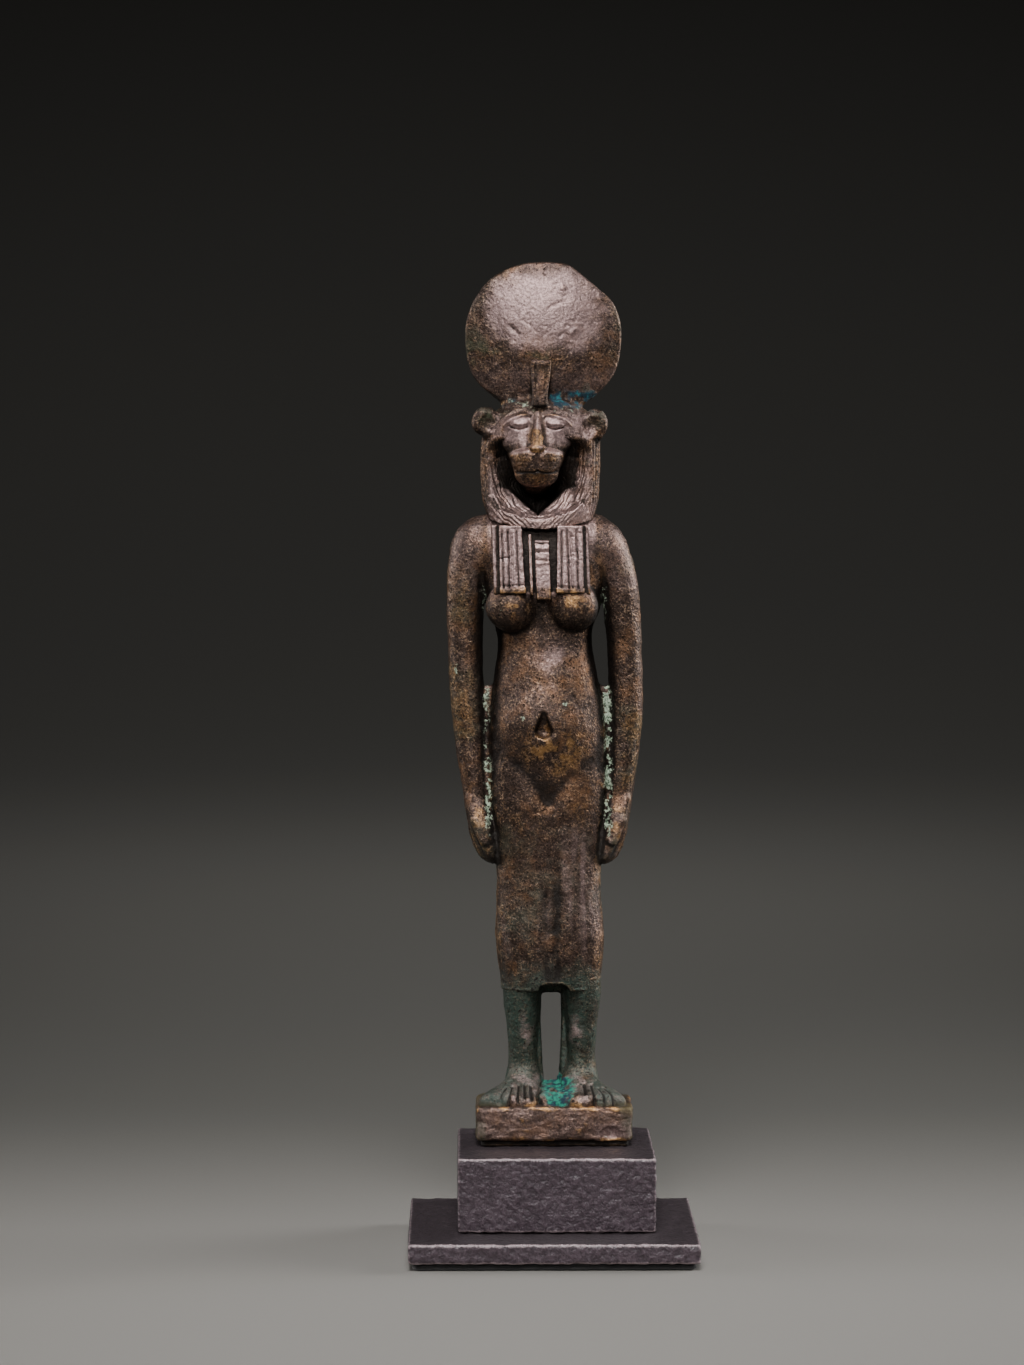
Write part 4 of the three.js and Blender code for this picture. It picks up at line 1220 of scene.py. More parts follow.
@dataclass
class StripedWig(BronzePiece):
    """The wig with its combed strands, open around the face, and the round ears."""

    name: str = "striped_wig"
    low: Point = (-9.2, -6.0, 67.4)
    high: Point = (9.2, 6.8, 84.6)
    cell: float = 0.115
    skin_depth: float = 0.03
    line_depth: float = 0.3
    edge_wear: float = 0.25
    front_sheen: float = 0.6
    seed: int = 53
    middle: float = -0.4
    hem_height: float = 68.35
    hem_bow: float = 0.027
    crown: float = 83.7
    cove_top: float = 79.2
    cove_foot: float = 69.8
    notch_top: float = 76.6
    notch_foot: float = 69.95
    strand_spacing: float = 0.42
    back_spacing: float = 0.62
    cobra_seat: Ball = Ball((0.0, -2.4, 82.85), (1.5, 1.4, 0.8))
    ears: tuple[Ball, ...] = (
        Ball((-6.6, -2.0, 81.05), (1.7, 1.0, 1.75)),
        Ball((6.3, -2.0, 80.75), (1.55, 1.0, 1.85)),
    )
    # Height, half width, depth to the front and to the back, squareness
    form: Stations = Stations(
        (
            (68.0, 5.7, 4.9, 5.3, 2.6),
            (69.8, 6.25, 4.8, 5.5, 2.8),
            (71.3, 6.7, 4.5, 5.7, 3.0),
            (73.8, 7.0, 4.1, 5.8, 3.0),
            (76.8, 7.05, 3.9, 5.9, 3.0),
            (79.3, 6.9, 3.95, 5.9, 2.8),
            (81.2, 6.3, 3.85, 5.4, 2.5),
            (82.6, 5.0, 3.4, 4.4, 2.2),
            (83.6, 3.2, 2.4, 3.0, 2.0),
        )
    )
    # Height, half width, depth to the back, squareness
    cove: Stations = Stations(
        (
            (69.7, 1.6, 0.3, 2.0),
            (70.6, 3.9, 1.1, 1.9),
            (72.0, 5.3, 2.0, 1.8),
            (74.0, 6.0, 2.7, 1.7),
            (76.5, 6.25, 3.0, 1.7),
            (78.0, 6.0, 2.6, 1.8),
            (78.8, 5.2, 1.5, 1.9),
            (79.5, 4.0, 0.4, 2.0),
        )
    )
    face_line: Stroke = Stroke(((1.4, 82.6), (2.9, 81.9), (3.95, 80.8), (4.5, 79.5)), 0.3, 0.1)
    # Distance from the middle, height of the brow band
    brow_arch: Stations = Stations(
        ((0.0, 82.95), (1.4, 82.75), (2.6, 82.45), (4.0, 81.5), (5.2, 80.3), (6.2, 78.9), (7.5, 76.5))
    )

    def opening(self, place: Place) -> Array:
        """The hollow around the muzzle: a wide cove and a deep notch under the chin.

        Args:
            place: Arrays of x, y and height.

        Returns:
            Distances to the hollow, negative inside it.
        """
        x, y, h = place
        side = np.abs(x - self.middle)
        width, depth, squareness = self.cove.at(h)
        beyond = np.maximum(h - self.cove_top, self.cove_foot - h)
        cove = level_body(side, y + 3.7, width, np.float32(9.0), depth, squareness)
        cove = keep(cove, beyond, 1.5)
        notch_width = np.maximum(1.08 * (np.minimum(h, 73.4) - self.notch_foot), 0.08)
        notch_back = 0.3 + 2.3 * ramp(h, self.notch_top, 73.6)
        notch = level_body(side, y + 2.0, notch_width, np.float32(9.0), notch_back, np.float32(3.0))
        notch = keep(notch, np.maximum(h - self.notch_top, self.notch_foot - h), 0.1)
        return join(cove, notch, 0.12 + 1.2 * ramp(h, 72.3, 74.5))

    def ear_hollow(self, ear: Ball) -> Ball:
        """The hollow in the front of an ear.

        Args:
            ear: The ear's outer form.

        Returns:
            What is taken out of it.
        """
        x, y, height = ear.centre
        width, _, tall = ear.radii
        return Ball((x - math.copysign(0.25, x), y - 1.35, height - 0.15), (width - 0.45, 0.8, tall - 0.55))

    def solid(self, place: Place) -> Array:
        """Wig, ears and the opening around the face.

        Args:
            place: Arrays of x, y and height.

        Returns:
            Distances, negative inside.
        """
        x, y, h = place
        half_width, front, back, squareness = self.form.at(h)
        hair = level_body(x, y, half_width, front, back, squareness)
        hem = self.hem_height + self.hem_bow * x * x - h
        hair = keep(hair, hem, 0.3)
        hair = keep(hair, h - self.crown, 0.5)
        hair = cut(hair, self.opening(place), 0.6)
        hair = join(hair, self.cobra_seat.at((x - self.middle, y, h)), 0.5)
        for ear in self.ears:
            hair = join(hair, ear.at(place), 0.7)
            hair = cut(hair, self.ear_hollow(ear).at(place), 0.5)
        return hair

    def shade(self, place: Place, facing: Array) -> Array:
        """Painted shade in the hollow beside the muzzle and a painted shadow under the chin, taken back on
        the lit outer sides of the hollow.

        Args:
            place: Arrays of x, y and height.
            facing: Direction each point faces. Not used.

        Returns:
            Shares of painted shade, from 0 to 1.
        """
        x, y, h = place
        side = np.abs(x - self.middle) + 0.25 * Grain(63).rough(place, 0.8, 2)
        width = 0.3 + 1.07 * (h - 70.2) + 1.3 * np.maximum(h - 73.0, 0.0)
        width = np.minimum(width, 4.5)
        inner = ramp(side, width + 0.9, width - 0.7) * ramp(h, 70.0, 70.7) * ramp(h, 79.6, 78.2)
        hollow_side = Span(4.0, 5.0, 6.2, 6.7).at(side) * Span(71.5, 73.5, 78.6, 79.6).at(h)
        dark = inner * ramp(y, 3.0, 0.0) * ramp(y, -3.9, -2.9)
        return 1.1 * dark - 0.6 * hollow_side * (y < 0.5)

    def relief(self, place: Place, facing: Array) -> Array:
        """Strands that follow the face opening in front and run straight down elsewhere.

        Args:
            place: Arrays of x, y and height.
            facing: Direction each point faces.

        Returns:
            How far each point moves outwards.
        """
        x, y, h = place
        side = np.abs(x - self.middle)
        slanted = 0.66 * side + 0.72 * (74.4 - h) + 0.9
        flow = -join(-side, -slanted, 3.0)
        wave = 0.3 * Grain(61).rough((x, y, h * 0.5), 1.1, 2)
        front_strands = np.cos(2.0 * math.pi * (flow + wave) / self.strand_spacing)
        turn = np.arctan2(x, y + 0.5) * 6.2
        back_strands = np.cos(2.0 * math.pi * (turn + 0.6 * wave) / self.back_spacing)
        outer_side = ramp(np.abs(facing[:, 0]), 0.55, 0.8) * ramp(side, 5.8, 6.5)
        in_front = ramp(y, -0.2, -0.9) * (1.0 - outer_side)
        broken = 0.5 + 0.5 * Grain(67).rough((x, y, h * 0.45), 0.7, 2)
        ears = 1.0 - ramp(side, 5.6, 6.3) * ramp(h, 78.6, 79.6)
        deep = 0.35 + 0.65 * ramp(y, -0.6, -2.2)
        mane = in_front * deep * ramp(h, 79.9, 78.9) * broken * front_strands
        rest = np.maximum(ramp(y, -0.8, 0.2), outer_side) * ramp(h, 83.4, 82.0) * back_strands
        above = h - self.brow_arch.at(side)[0]
        band = in_front * ramp(h, 79.2, 80.2)
        rim = band * 0.1 * bell(above, 0.05, 0.22)
        inner_line = band * self.face_line.at(side, h)
        rough = 0.1 * Grain(71).rough(place, 0.8, 3) * in_front * ramp(above, -0.3, 0.3)
        return ears * (0.11 * mane + 0.07 * rest + rim - inner_line) + rough


@dataclass
class WigLappets(BronzePiece):
    """The two tresses that hang in front, the collar panel between them and the tress at the back."""

    name: str = "wig_lappets"
    low: Point = (-6.6, -6.9, 58.6)
    high: Point = (6.2, 6.6, 70.2)
    cell: float = 0.1
    skin_depth: float = 0.025
    front_sheen: float = 1.0
    seed: int = 73
    back_spacing: float = 0.62
    bar_height: float = 61.2
    tress_middle: float = 64.85
    tress_half: float = 4.0
    # Left and right edge of each tress at its top, then at its end
    tress_edges: tuple[tuple[float, ...], ...] = ((-5.1, -2.3, -5.2, -2.15), (1.78, 4.85, 1.45, 4.78))
    band_middles: tuple[float, ...] = (-5.55, 5.15)
    strokes: tuple[Stroke, ...] = (
        Stroke(((-4.72, 68.2), (-4.74, 61.6)), 0.085, 0.15),
        Stroke(((-4.02, 68.3), (-4.0, 64.9), (-4.06, 61.6)), 0.085, 0.17),
        Stroke(((-3.62, 67.9), (-3.6, 64.0), (-3.64, 61.7)), 0.075, 0.11),
        Stroke(((-2.98, 68.2), (-3.0, 65.0), (-2.92, 61.7)), 0.085, 0.16),
        Stroke(((-5.1, 65.0), (-3.9, 65.1)), 0.075, 0.11),
        Stroke(((2.35, 68.2), (2.2, 65.0), (2.1, 61.6)), 0.085, 0.16),
        Stroke(((2.98, 68.4), (3.0, 65.4), (2.98, 61.5)), 0.085, 0.17),
        Stroke(((3.4, 67.9), (3.42, 64.0), (3.4, 61.4)), 0.075, 0.11),
        Stroke(((4.1, 68.3), (4.1, 65.0), (4.05, 61.5)), 0.085, 0.16),
        Stroke(((-5.2, 61.75), (-2.2, 61.85)), 0.11, 0.1),
        Stroke(((1.45, 61.7), (4.8, 61.55)), 0.11, 0.1),
        Stroke(((-0.85, 66.75), (0.8, 66.7)), 0.12, 0.12),
        Stroke(((-0.85, 66.2), (0.8, 66.15)), 0.14, -0.08),
        Stroke(((-0.85, 65.75), (0.8, 65.7)), 0.12, 0.12),
        Stroke(((-0.8, 64.75), (0.8, 64.7)), 0.14, 0.1),
        Stroke(((-0.8, 64.35), (0.7, 64.45)), 0.14, -0.07),
    )

    def front_face(self, h: Array) -> Array:
        """Where the front of the tresses lies, by height."""
        return -5.9 + 0.95 * ramp(h, 60.0, 70.0)

    def solid(self, place: Place) -> Array:
        """Tresses, end bars, side bands, collar panel and the back tress.

        Args:
            place: Arrays of x, y and height.

        Returns:
            Distances, negative inside.
        """
        h = place[2]
        face = self.front_face(h)
        tresses = None
        share = np.clip((h - 60.9) / 7.6, 0.0, 1.0)
        for left_top, right_top, left_low, right_low in self.tress_edges:
            left = left_low + (left_top - left_low) * share
            right = right_low + (right_top - right_low) * share
            middle, half = (left + right) / 2, (right - left) / 2
            centre = (middle, face + 1.6, self.tress_middle)
            tress = rounded_box(place, centre, (half, 1.6, self.tress_half), 0.16)
            bar = rounded_box(place, (middle, face + 1.4, self.bar_height), (half + 0.06, 1.52, 0.32), 0.14)
            tress = join(tress, bar, 0.1)
            tresses = tress if tresses is None else np.minimum(tresses, tress)
        for middle in self.band_middles:
            band = rounded_box(place, (middle, face + 2.25, 64.8), (0.38, 1.6, 4.1), 0.15)
            tresses = join(tresses, band, 0.12)
        panel = rounded_box(place, (-0.02, face + 1.85, 63.6), (0.9, 1.5, 3.5), 0.16)
        frame = rounded_box(place, (-1.42, face + 2.1, 64.2), (0.2, 1.5, 3.6), 0.12)
        front = np.minimum(join(tresses, panel, 0.1), frame)
        back = rounded_box(place, (0.0, 4.4 - 0.035 * (h - 60.0), 65.2), (4.5, 1.15, 4.6), 0.3)
        return np.minimum(front, back)

    def shade(self, place: Place, facing: Array) -> Array:
        """Painted shade on the sides of the tresses and on the bands beside them.

        Args:
            place: Arrays of x, y and height.
            facing: Direction each point faces.

        Returns:
            Shares of painted shade, from 0 to 1.
        """
        x, y, _ = place
        beside = ramp(np.abs(x + 0.2), 4.95, 5.2)
        turned = ramp(np.abs(facing[:, 0]), 0.45, 0.75)
        return (0.42 * beside + 1.1 * turned * (1.0 - 0.7 * beside)) * (y < 0.0)

    def relief(self, place: Place, facing: Array) -> Array:
        """Grooves of the tresses, bars of the panel and strands at the back.

        Args:
            place: Arrays of x, y and height.
            facing: Direction each point faces.

        Returns:
            How far each point moves outwards.
        """
        x, y, h = place
        front = ramp(-facing[:, 1], 0.4, 0.8) * (y < 0.0)
        jitter = 0.05 * Grain(79).at((x * 0.2, y * 0.2, h), 1.2)
        lines = carved(self.strokes, x + jitter, h)
        strands = 0.07 * np.cos(2.0 * math.pi * x / self.back_spacing) * ramp(h, 61.1, 61.7) * (y > 0.0)
        dents = 0.05 * ramp(Grain(83).rough(place, 0.45, 2), 0.2, 0.9)
        return strands - front * (lines + dents)


@dataclass
class GoddessBody(BronzePiece):
    """Torso and close-fitting dress, breasts, arms with their hands, and the corrosion beside the waist."""

    name: str = "goddess_body"
    low: Point = (-12.6, -7.2, 12.6)
    high: Point = (12.4, 6.4, 71.6)
    cell: float = 0.225
    skin_depth: float = 0.05
    line_depth: float = 0.9
    seed: int = 87
    hem: float = 13.3
    neck: float = 69.7
    hand_end: float = 28.3
    shoulder_top: float = 69.9
    web_middle: float = 40.0
    web_half: float = 9.6
    belly: Ball = Ball((-0.4, -2.15, 44.9), (5.1, 3.5, 5.4))
    breasts: tuple[Ball, ...] = (
        Ball((-3.85, -3.45, 59.1), (3.05, 2.6, 2.95)),
        Ball((3.4, -3.45, 59.3), (3.05, 2.6, 2.95)),
    )
    navel: Rod = Rod((-0.52, -5.5, 44.65), (-0.48, -5.45, 46.5), (0.98, 0.22))
    thumb: Rod = Rod((9.3, -1.55, 36.2), (8.75, -2.15, 33.6), (0.62, 0.6))
    thumb_tip: Rod = Rod((8.75, -2.15, 33.6), (7.5, -2.6, 31.1), (0.6, 0.5))
    thumb_fold: Rod = Rod((7.9, -3.0, 30.35), (7.1, -3.1, 30.6), (0.34, 0.3))
    finger_spacing: float = 1.15
    # Height, half width, depth to the front and to the back, squareness
    torso: Stations = Stations(
        (
            (13.2, 5.85, 3.35, 3.4, 2.7),
            (16.7, 6.25, 3.5, 3.5, 2.6),
            (19.7, 6.5, 3.7, 3.6, 2.6),
            (23.7, 6.25, 3.75, 3.8, 2.5),
            (27.4, 6.2, 3.9, 4.2, 2.4),
            (32.2, 6.75, 4.3, 5.0, 2.4),
            (37.3, 7.05, 4.7, 5.3, 2.4),
            (43.3, 7.0, 5.0, 4.5, 2.3),
            (47.8, 6.6, 4.9, 3.8, 2.3),
            (51.3, 6.1, 4.5, 3.6, 2.2),
            (54.2, 5.65, 4.15, 3.7, 2.2),
            (56.5, 5.8, 4.2, 3.9, 2.2),
            (58.8, 6.65, 4.4, 4.2, 2.3),
            (62.3, 7.35, 4.6, 4.6, 2.4),
            (66.0, 7.95, 4.4, 4.6, 2.4),
            (68.0, 7.6, 3.9, 4.2, 2.3),
            (69.6, 5.9, 3.4, 3.7, 2.1),
            (71.2, 3.8, 3.1, 3.3, 2.0),
        )
    )
    # Height, distance from the midline, forward or back, half width, half depth
    arm: Stations = Stations(
        (
            (28.1, 6.6, -0.6, 0.5, 0.9),
            (29.2, 6.95, -0.6, 1.05, 1.75),
            (31.0, 7.4, -0.6, 1.4, 2.25),
            (32.8, 7.85, -0.55, 1.6, 2.4),
            (34.7, 8.25, -0.45, 1.6, 2.05),
            (36.3, 8.5, -0.35, 1.52, 1.65),
            (38.8, 8.8, -0.2, 1.65, 1.75),
            (42.3, 9.1, 0.0, 1.85, 1.95),
            (46.3, 9.4, 0.1, 2.0, 2.1),
            (50.3, 9.5, 0.2, 2.05, 2.15),
            (54.3, 9.5, 0.3, 2.07, 2.2),
            (58.3, 9.35, 0.3, 2.2, 2.35),
            (62.3, 9.05, 0.2, 2.35, 2.55),
            (65.3, 8.7, 0.1, 2.45, 2.7),
            (67.3, 8.3, 0.05, 2.35, 2.5),
            (68.8, 7.8, 0.0, 1.8, 2.0),
            (69.8, 7.3, 0.0, 0.9, 1.0),
        )
    )
    groin: tuple[Stroke, ...] = (
        Stroke(((-5.3, 41.8), (-2.5, 39.6), (-1.3, 37.9), (-0.3, 36.6)), 1.4, 0.18),
        Stroke(((5.9, 41.5), (2.35, 39.1), (1.1, 37.6), (0.1, 36.6)), 1.4, 0.18),
        Stroke(((-4.6, 41.2), (-2.5, 39.4), (-1.3, 37.7), (-0.1, 35.9)), 0.4, 0.05),
        Stroke(((5.2, 40.9), (2.35, 38.9), (1.1, 37.4), (-0.1, 35.9)), 0.4, 0.05),
        Stroke(((-0.6, 39.3), (-0.1, 37.6), (0.4, 39.3)), 1.4, 0.12),
        Stroke(((-3.5, 35.4), (-3.3, 33.2)), 1.6, -0.13),
        Stroke(((3.5, 35.4), (3.4, 33.2)), 1.6, -0.13),
    )
    lines: tuple[Stroke, ...] = (
        Stroke(((-1.9, 33.5), (-1.6, 29.0), (-0.8, 24.0), (-0.6, 12.0)), 0.8, 0.07),
        Stroke(((1.9, 33.5), (1.6, 29.0), (1.2, 25.0), (0.9, 20.7), (0.8, 12.0)), 0.6, 0.13),
        Stroke(((-0.4, 56.5), (-0.4, 61.0)), 0.8, 0.2),
        Stroke(((-6.2, 13.72), (-2.0, 13.75)), 0.12, 0.14),
        Stroke(((2.4, 13.75), (6.2, 13.72)), 0.12, 0.14),
    )

    def solid(self, place: Place) -> Array:
        """Everything between hem and neck, joined as one casting.

        Args:
            place: Arrays of x, y and height.

        Returns:
            Distances, negative inside.
        """
        x, y, h = place
        side = np.abs(x)
        half = (side, y, h)
        half_width, front, back, squareness = self.torso.at(h)
        form = level_body(x, y, half_width, front, back, squareness)
        form = keep(form, self.hem - h, 0.15)
        form = keep(form, h - self.neck, 0.3)
        form = join(form, self.belly.at(place), 1.0)
        arch = ((np.abs(x - 0.3) / 1.85) ** 3 + (np.abs(h - 12.9) / 1.35) ** 3) ** (1 / 3)
        form = cut(form, np.maximum((arch - 1.0) * 1.3, y - 0.4), 0.15)
        for breast in self.breasts:
            form = join(form, breast.at(place), 0.45)
        arm_x, arm_y, arm_width, arm_depth = self.arm.at(h)
        arm_x = arm_x - np.where(x > 0.0, 0.9, 0.2) * bell(h, 68.2, 4.2)
        arm = level_body(side - arm_x, y - arm_y, arm_width, arm_depth, arm_depth, np.float32(2.1))
        arm = keep(arm, self.hand_end - h, 0.8)
        arm = keep(arm, h - self.shoulder_top, 0.6)
        arm = join(arm, join(self.thumb.at(half), self.thumb_tip.at(half), 0.3), 0.25)
        arm = cut(arm, self.thumb_fold.at(half), 0.15)
        web_width = (0.3 + 0.8 * ramp(h, 49.0, 36.0)) * ramp(h, 50.4, 48.0)
        web_centre = (7.2 + 0.02 * (h - self.web_middle), 0.0, self.web_middle)
        web = rounded_box(half, web_centre, (1.7, 0.35 + web_width, self.web_half), 0.3)
        form = join(form, web, 0.5)
        fillet = 0.25 + 1.4 * ramp(h, 60.0, 67.0)
        form = join(form, arm, fillet)
        return cut(form, self.navel.at(place), 0.45)

    def shade(self, place: Place, facing: Array) -> Array:
        """Painted shade between the tresses, under the breasts and inside the arms.

        Args:
            place: Arrays of x, y and height.
            facing: Direction each point faces.

        Returns:
            Shares of painted shade, from 0 to 1.
        """
        x, y, h = place
        chest = ramp(h, 60.6, 61.6) * ramp(h, 70.5, 69.0) * (y < -1.0)
        chest = chest * (ramp(np.abs(x + 0.1), 3.0, 2.4) + 0.1 * ramp(np.abs(x + 0.1), 6.2, 5.4))
        inside = ramp(-facing[:, 0] * np.sign(x), 0.3, 0.8) * ramp(np.abs(x), 6.0, 7.0)
        flank = ramp(np.abs(facing[:, 0]), 0.6, 0.95) * ramp(np.abs(x), 7.0, 6.4) * ramp(h, 29.0, 33.0)
        return chest + 0.8 * (inside + flank) * ramp(h, 68.0, 63.0)

    def relief(self, place: Place, facing: Array) -> Array:
        """Groin folds, lines between the thighs, spine, buttocks, fingers and rough corrosion.

        Args:
            place: Arrays of x, y and height.
            facing: Direction each point faces.

        Returns:
            How far each point moves outwards.
        """
        x, y, h = place
        side = np.abs(x)
        front = ramp(-facing[:, 1], 0.15, 0.6) * ramp(side, 6.6, 5.9)
        behind = ramp(facing[:, 1], 0.2, 0.7) * ramp(side, 6.4, 5.4)
        result = -front * carved(self.groin, x, h)
        result = result - front * carved(self.lines, x, h)
        channel = 0.16 * ramp(np.abs(x - 0.1), 2.2, 0.4) * ramp(h, 35.5, 29.0)
        result = result - front * channel
        cleft = 0.5 * Spot(0.0, 34.5, 0.8, 4.5).at(x, h)
        spine = 0.32 * Spot(0.0, 52.0, 1.0, 9.0).at(x, h)
        result = result - behind * (cleft + spine)
        outside = ramp(facing[:, 0] * np.sign(x), 0.3, 0.8) * ramp(side, 6.8, 7.3)
        fingers = 0.2 * np.cos(2.0 * math.pi * (y + 0.6) / self.finger_spacing)
        fingers = fingers * Span(28.4, 29.4, 31.8, 33.2).at(h)
        result = result + outside * fingers
        crusted = bell(side, 7.05, 0.9) * ramp(h, 29.0, 33.0) * ramp(h, 50.5, 48.5)
        result = result + 0.13 * crusted * Grain(97).rough(place, 0.8, 2)
        combed = 0.03 * Grain(99).rough((x, y, h * 0.16), 0.5, 2) * ramp(h, 36.0, 32.0)
        return result + combed


@dataclass
class LegsAndFeet(BronzePiece):
    """Lower legs, feet with their toes, and the crust that fills the space between the feet."""

    name: str = "legs_and_feet"
    low: Point = (-10.0, -7.0, -0.9)
    high: Point = (10.0, 4.6, 15.4)
    cell: float = 0.135
    skin_depth: float = 0.05
    line_depth: float = 0.6
    seed: int = 101
    foot_skirt: Ball = Ball((6.2, -2.6, -0.2), (2.3, 3.4, 1.7))
    toe_end: float = 6.3
    heel_end: float = 3.3
    fin_places: tuple[float, ...] = (-2.2, 2.25)
    foot_bottom: float = -0.5
    leg_top: float = 14.9
    # Height, distance from the midline, half width, half depth, forward or back
    shin: Stations = Stations(
        (
            (0.0, 3.3, 1.95, 2.3, 0.9),
            (3.0, 3.3, 1.8, 2.1, 0.8),
            (5.0, 3.35, 1.72, 2.0, 0.7),
            (8.0, 3.4, 1.8, 2.2, 0.5),
            (11.0, 3.45, 2.1, 2.55, 0.3),
            (13.3, 3.45, 2.32, 2.85, 0.1),
            (16.0, 3.4, 2.4, 2.85, 0.05),
        )
    )
    # Forward from the leg's axis, distance from the midline, half width, height
    foot: Stations = Stations(
        (
            (-3.5, 3.3, 1.5, 2.2),
            (-2.6, 3.3, 1.95, 3.3),
            (-1.0, 3.3, 2.25, 4.2),
            (0.6, 3.4, 2.4, 3.9),
            (1.8, 3.75, 2.65, 3.1),
            (3.0, 4.3, 3.0, 2.35),
            (4.2, 4.95, 3.35, 1.85),
            (5.2, 5.25, 3.45, 1.55),
            (6.3, 5.35, 3.3, 1.2),
        )
    )
    toe_lines_left: tuple[Stroke, ...] = (
        Stroke(((-2.45, 3.1), (-2.45, 5.6)), 0.24, 0.38),
        Stroke(((-3.2, 3.2), (-3.25, 5.9)), 0.2, 0.32),
        Stroke(((-3.95, 3.4), (-4.1, 6.2)), 0.17, 0.28),
        Stroke(((-4.7, 3.7), (-5.1, 6.2)), 0.17, 0.26),
        Stroke(((-5.45, 4.0), (-6.1, 6.0)), 0.18, 0.24),
    )
    toe_lines_right: tuple[Stroke, ...] = (
        Stroke(((3.9, 3.2), (3.95, 5.5)), 0.26, 0.4),
        Stroke(((4.7, 3.4), (5.0, 6.3)), 0.2, 0.3),
        Stroke(((5.5, 4.2), (6.25, 6.2)), 0.17, 0.26),
        Stroke(((6.2, 4.1), (7.3, 6.0)), 0.18, 0.26),
    )

    def foot_form(self, x: Array, y: Array, h: Array, side: int, shift: float) -> Array:
        """One foot, from heel to toes.

        Args:
            x: Across, from the midline.
            y: Forward or back.
            h: Height.
            side: -1 for the viewer's left foot and 1 for the right one.
            shift: How far the foot is moved away from the midline.

        Returns:
            Distances, negative inside.
        """
        middle, half_width, height = self.foot.at(-y)
        across = np.abs(x * side - middle - shift) / half_width
        up = np.maximum(h, 0.0) / height
        reach = (across**2.5 + up**2.3) ** (1 / 2.4)
        form = (reach - 1.0) * np.minimum(half_width, height)
        tip = -y - self.toe_end + 0.1 * np.maximum(np.abs(x * side) - 4.0, 0.0) ** 1.5
        form = keep(form, tip, 0.7)
        return keep(form, y - self.heel_end, 0.8)

    def solid(self, place: Place) -> Array:
        """Legs, the casting web behind them, feet and crust.

        Args:
            place: Arrays of x, y and height.

        Returns:
            Distances, negative inside.
        """
        x, y, h = place
        middle, half_width, half_depth, leg_y = self.shin.at(h)
        form = None
        for side, shift in ((-1, 0.0), (1, 0.25)):
            across = x * side - middle - shift
            leg = level_body(across, y - leg_y, half_width, half_depth, half_depth, np.float32(2.2))
            foot = self.foot_form(x, y, h, side, 0.0 if side < 0 else 0.1)
            leg = join(leg, foot, 0.9)
            leg = join(leg, self.foot_skirt.at((x * side - shift, y, h)), 1.1)
            form = leg if form is None else np.minimum(form, leg)
        fin_half = 1.9 - 0.3 * ramp(h, 3.0, 9.0)
        for fin_x in self.fin_places:
            fin = rounded_box(place, (fin_x, 1.6, 6.5), (fin_half * 0.62, 1.4, 8.5), 0.35)
            form = join(form, fin, 0.35)
        bridge = rounded_box(place, (0.1, 1.9, 14.4), (2.4, 1.6, 1.75), 0.5)
        form = join(form, bridge, 0.5)
        crust = rounded_box(place, (0.75, -1.3, 0.0), (2.4, 4.2 - 0.5 * h, 1.8 + 0.1 * y), 0.9)
        form = join(form, crust, 0.3)
        form = keep(form, self.foot_bottom - h, 0.1)
        return keep(form, h - self.leg_top, 0.1)

    def relief(self, place: Place, facing: Array) -> Array:
        """Toes, shin ridges and the lumps of the crust.

        Args:
            place: Arrays of x, y and height.
            facing: Direction each point faces.

        Returns:
            How far each point moves outwards.
        """
        x, y, h = place
        upward = ramp(facing[:, 2] - facing[:, 1], 0.2, 0.7) * ramp(h, 3.6, 2.6)
        toes = carved(self.toe_lines_left, x, -y) + carved(self.toe_lines_right, x, -y)
        crusted = bell(x, 0.8, 2.0) * ramp(h, 4.5, 2.5)
        lumps = 0.26 * crusted * Grain(103).rough(place, 1.1, 3)
        return lumps - upward * toes * (1.0 - crusted)


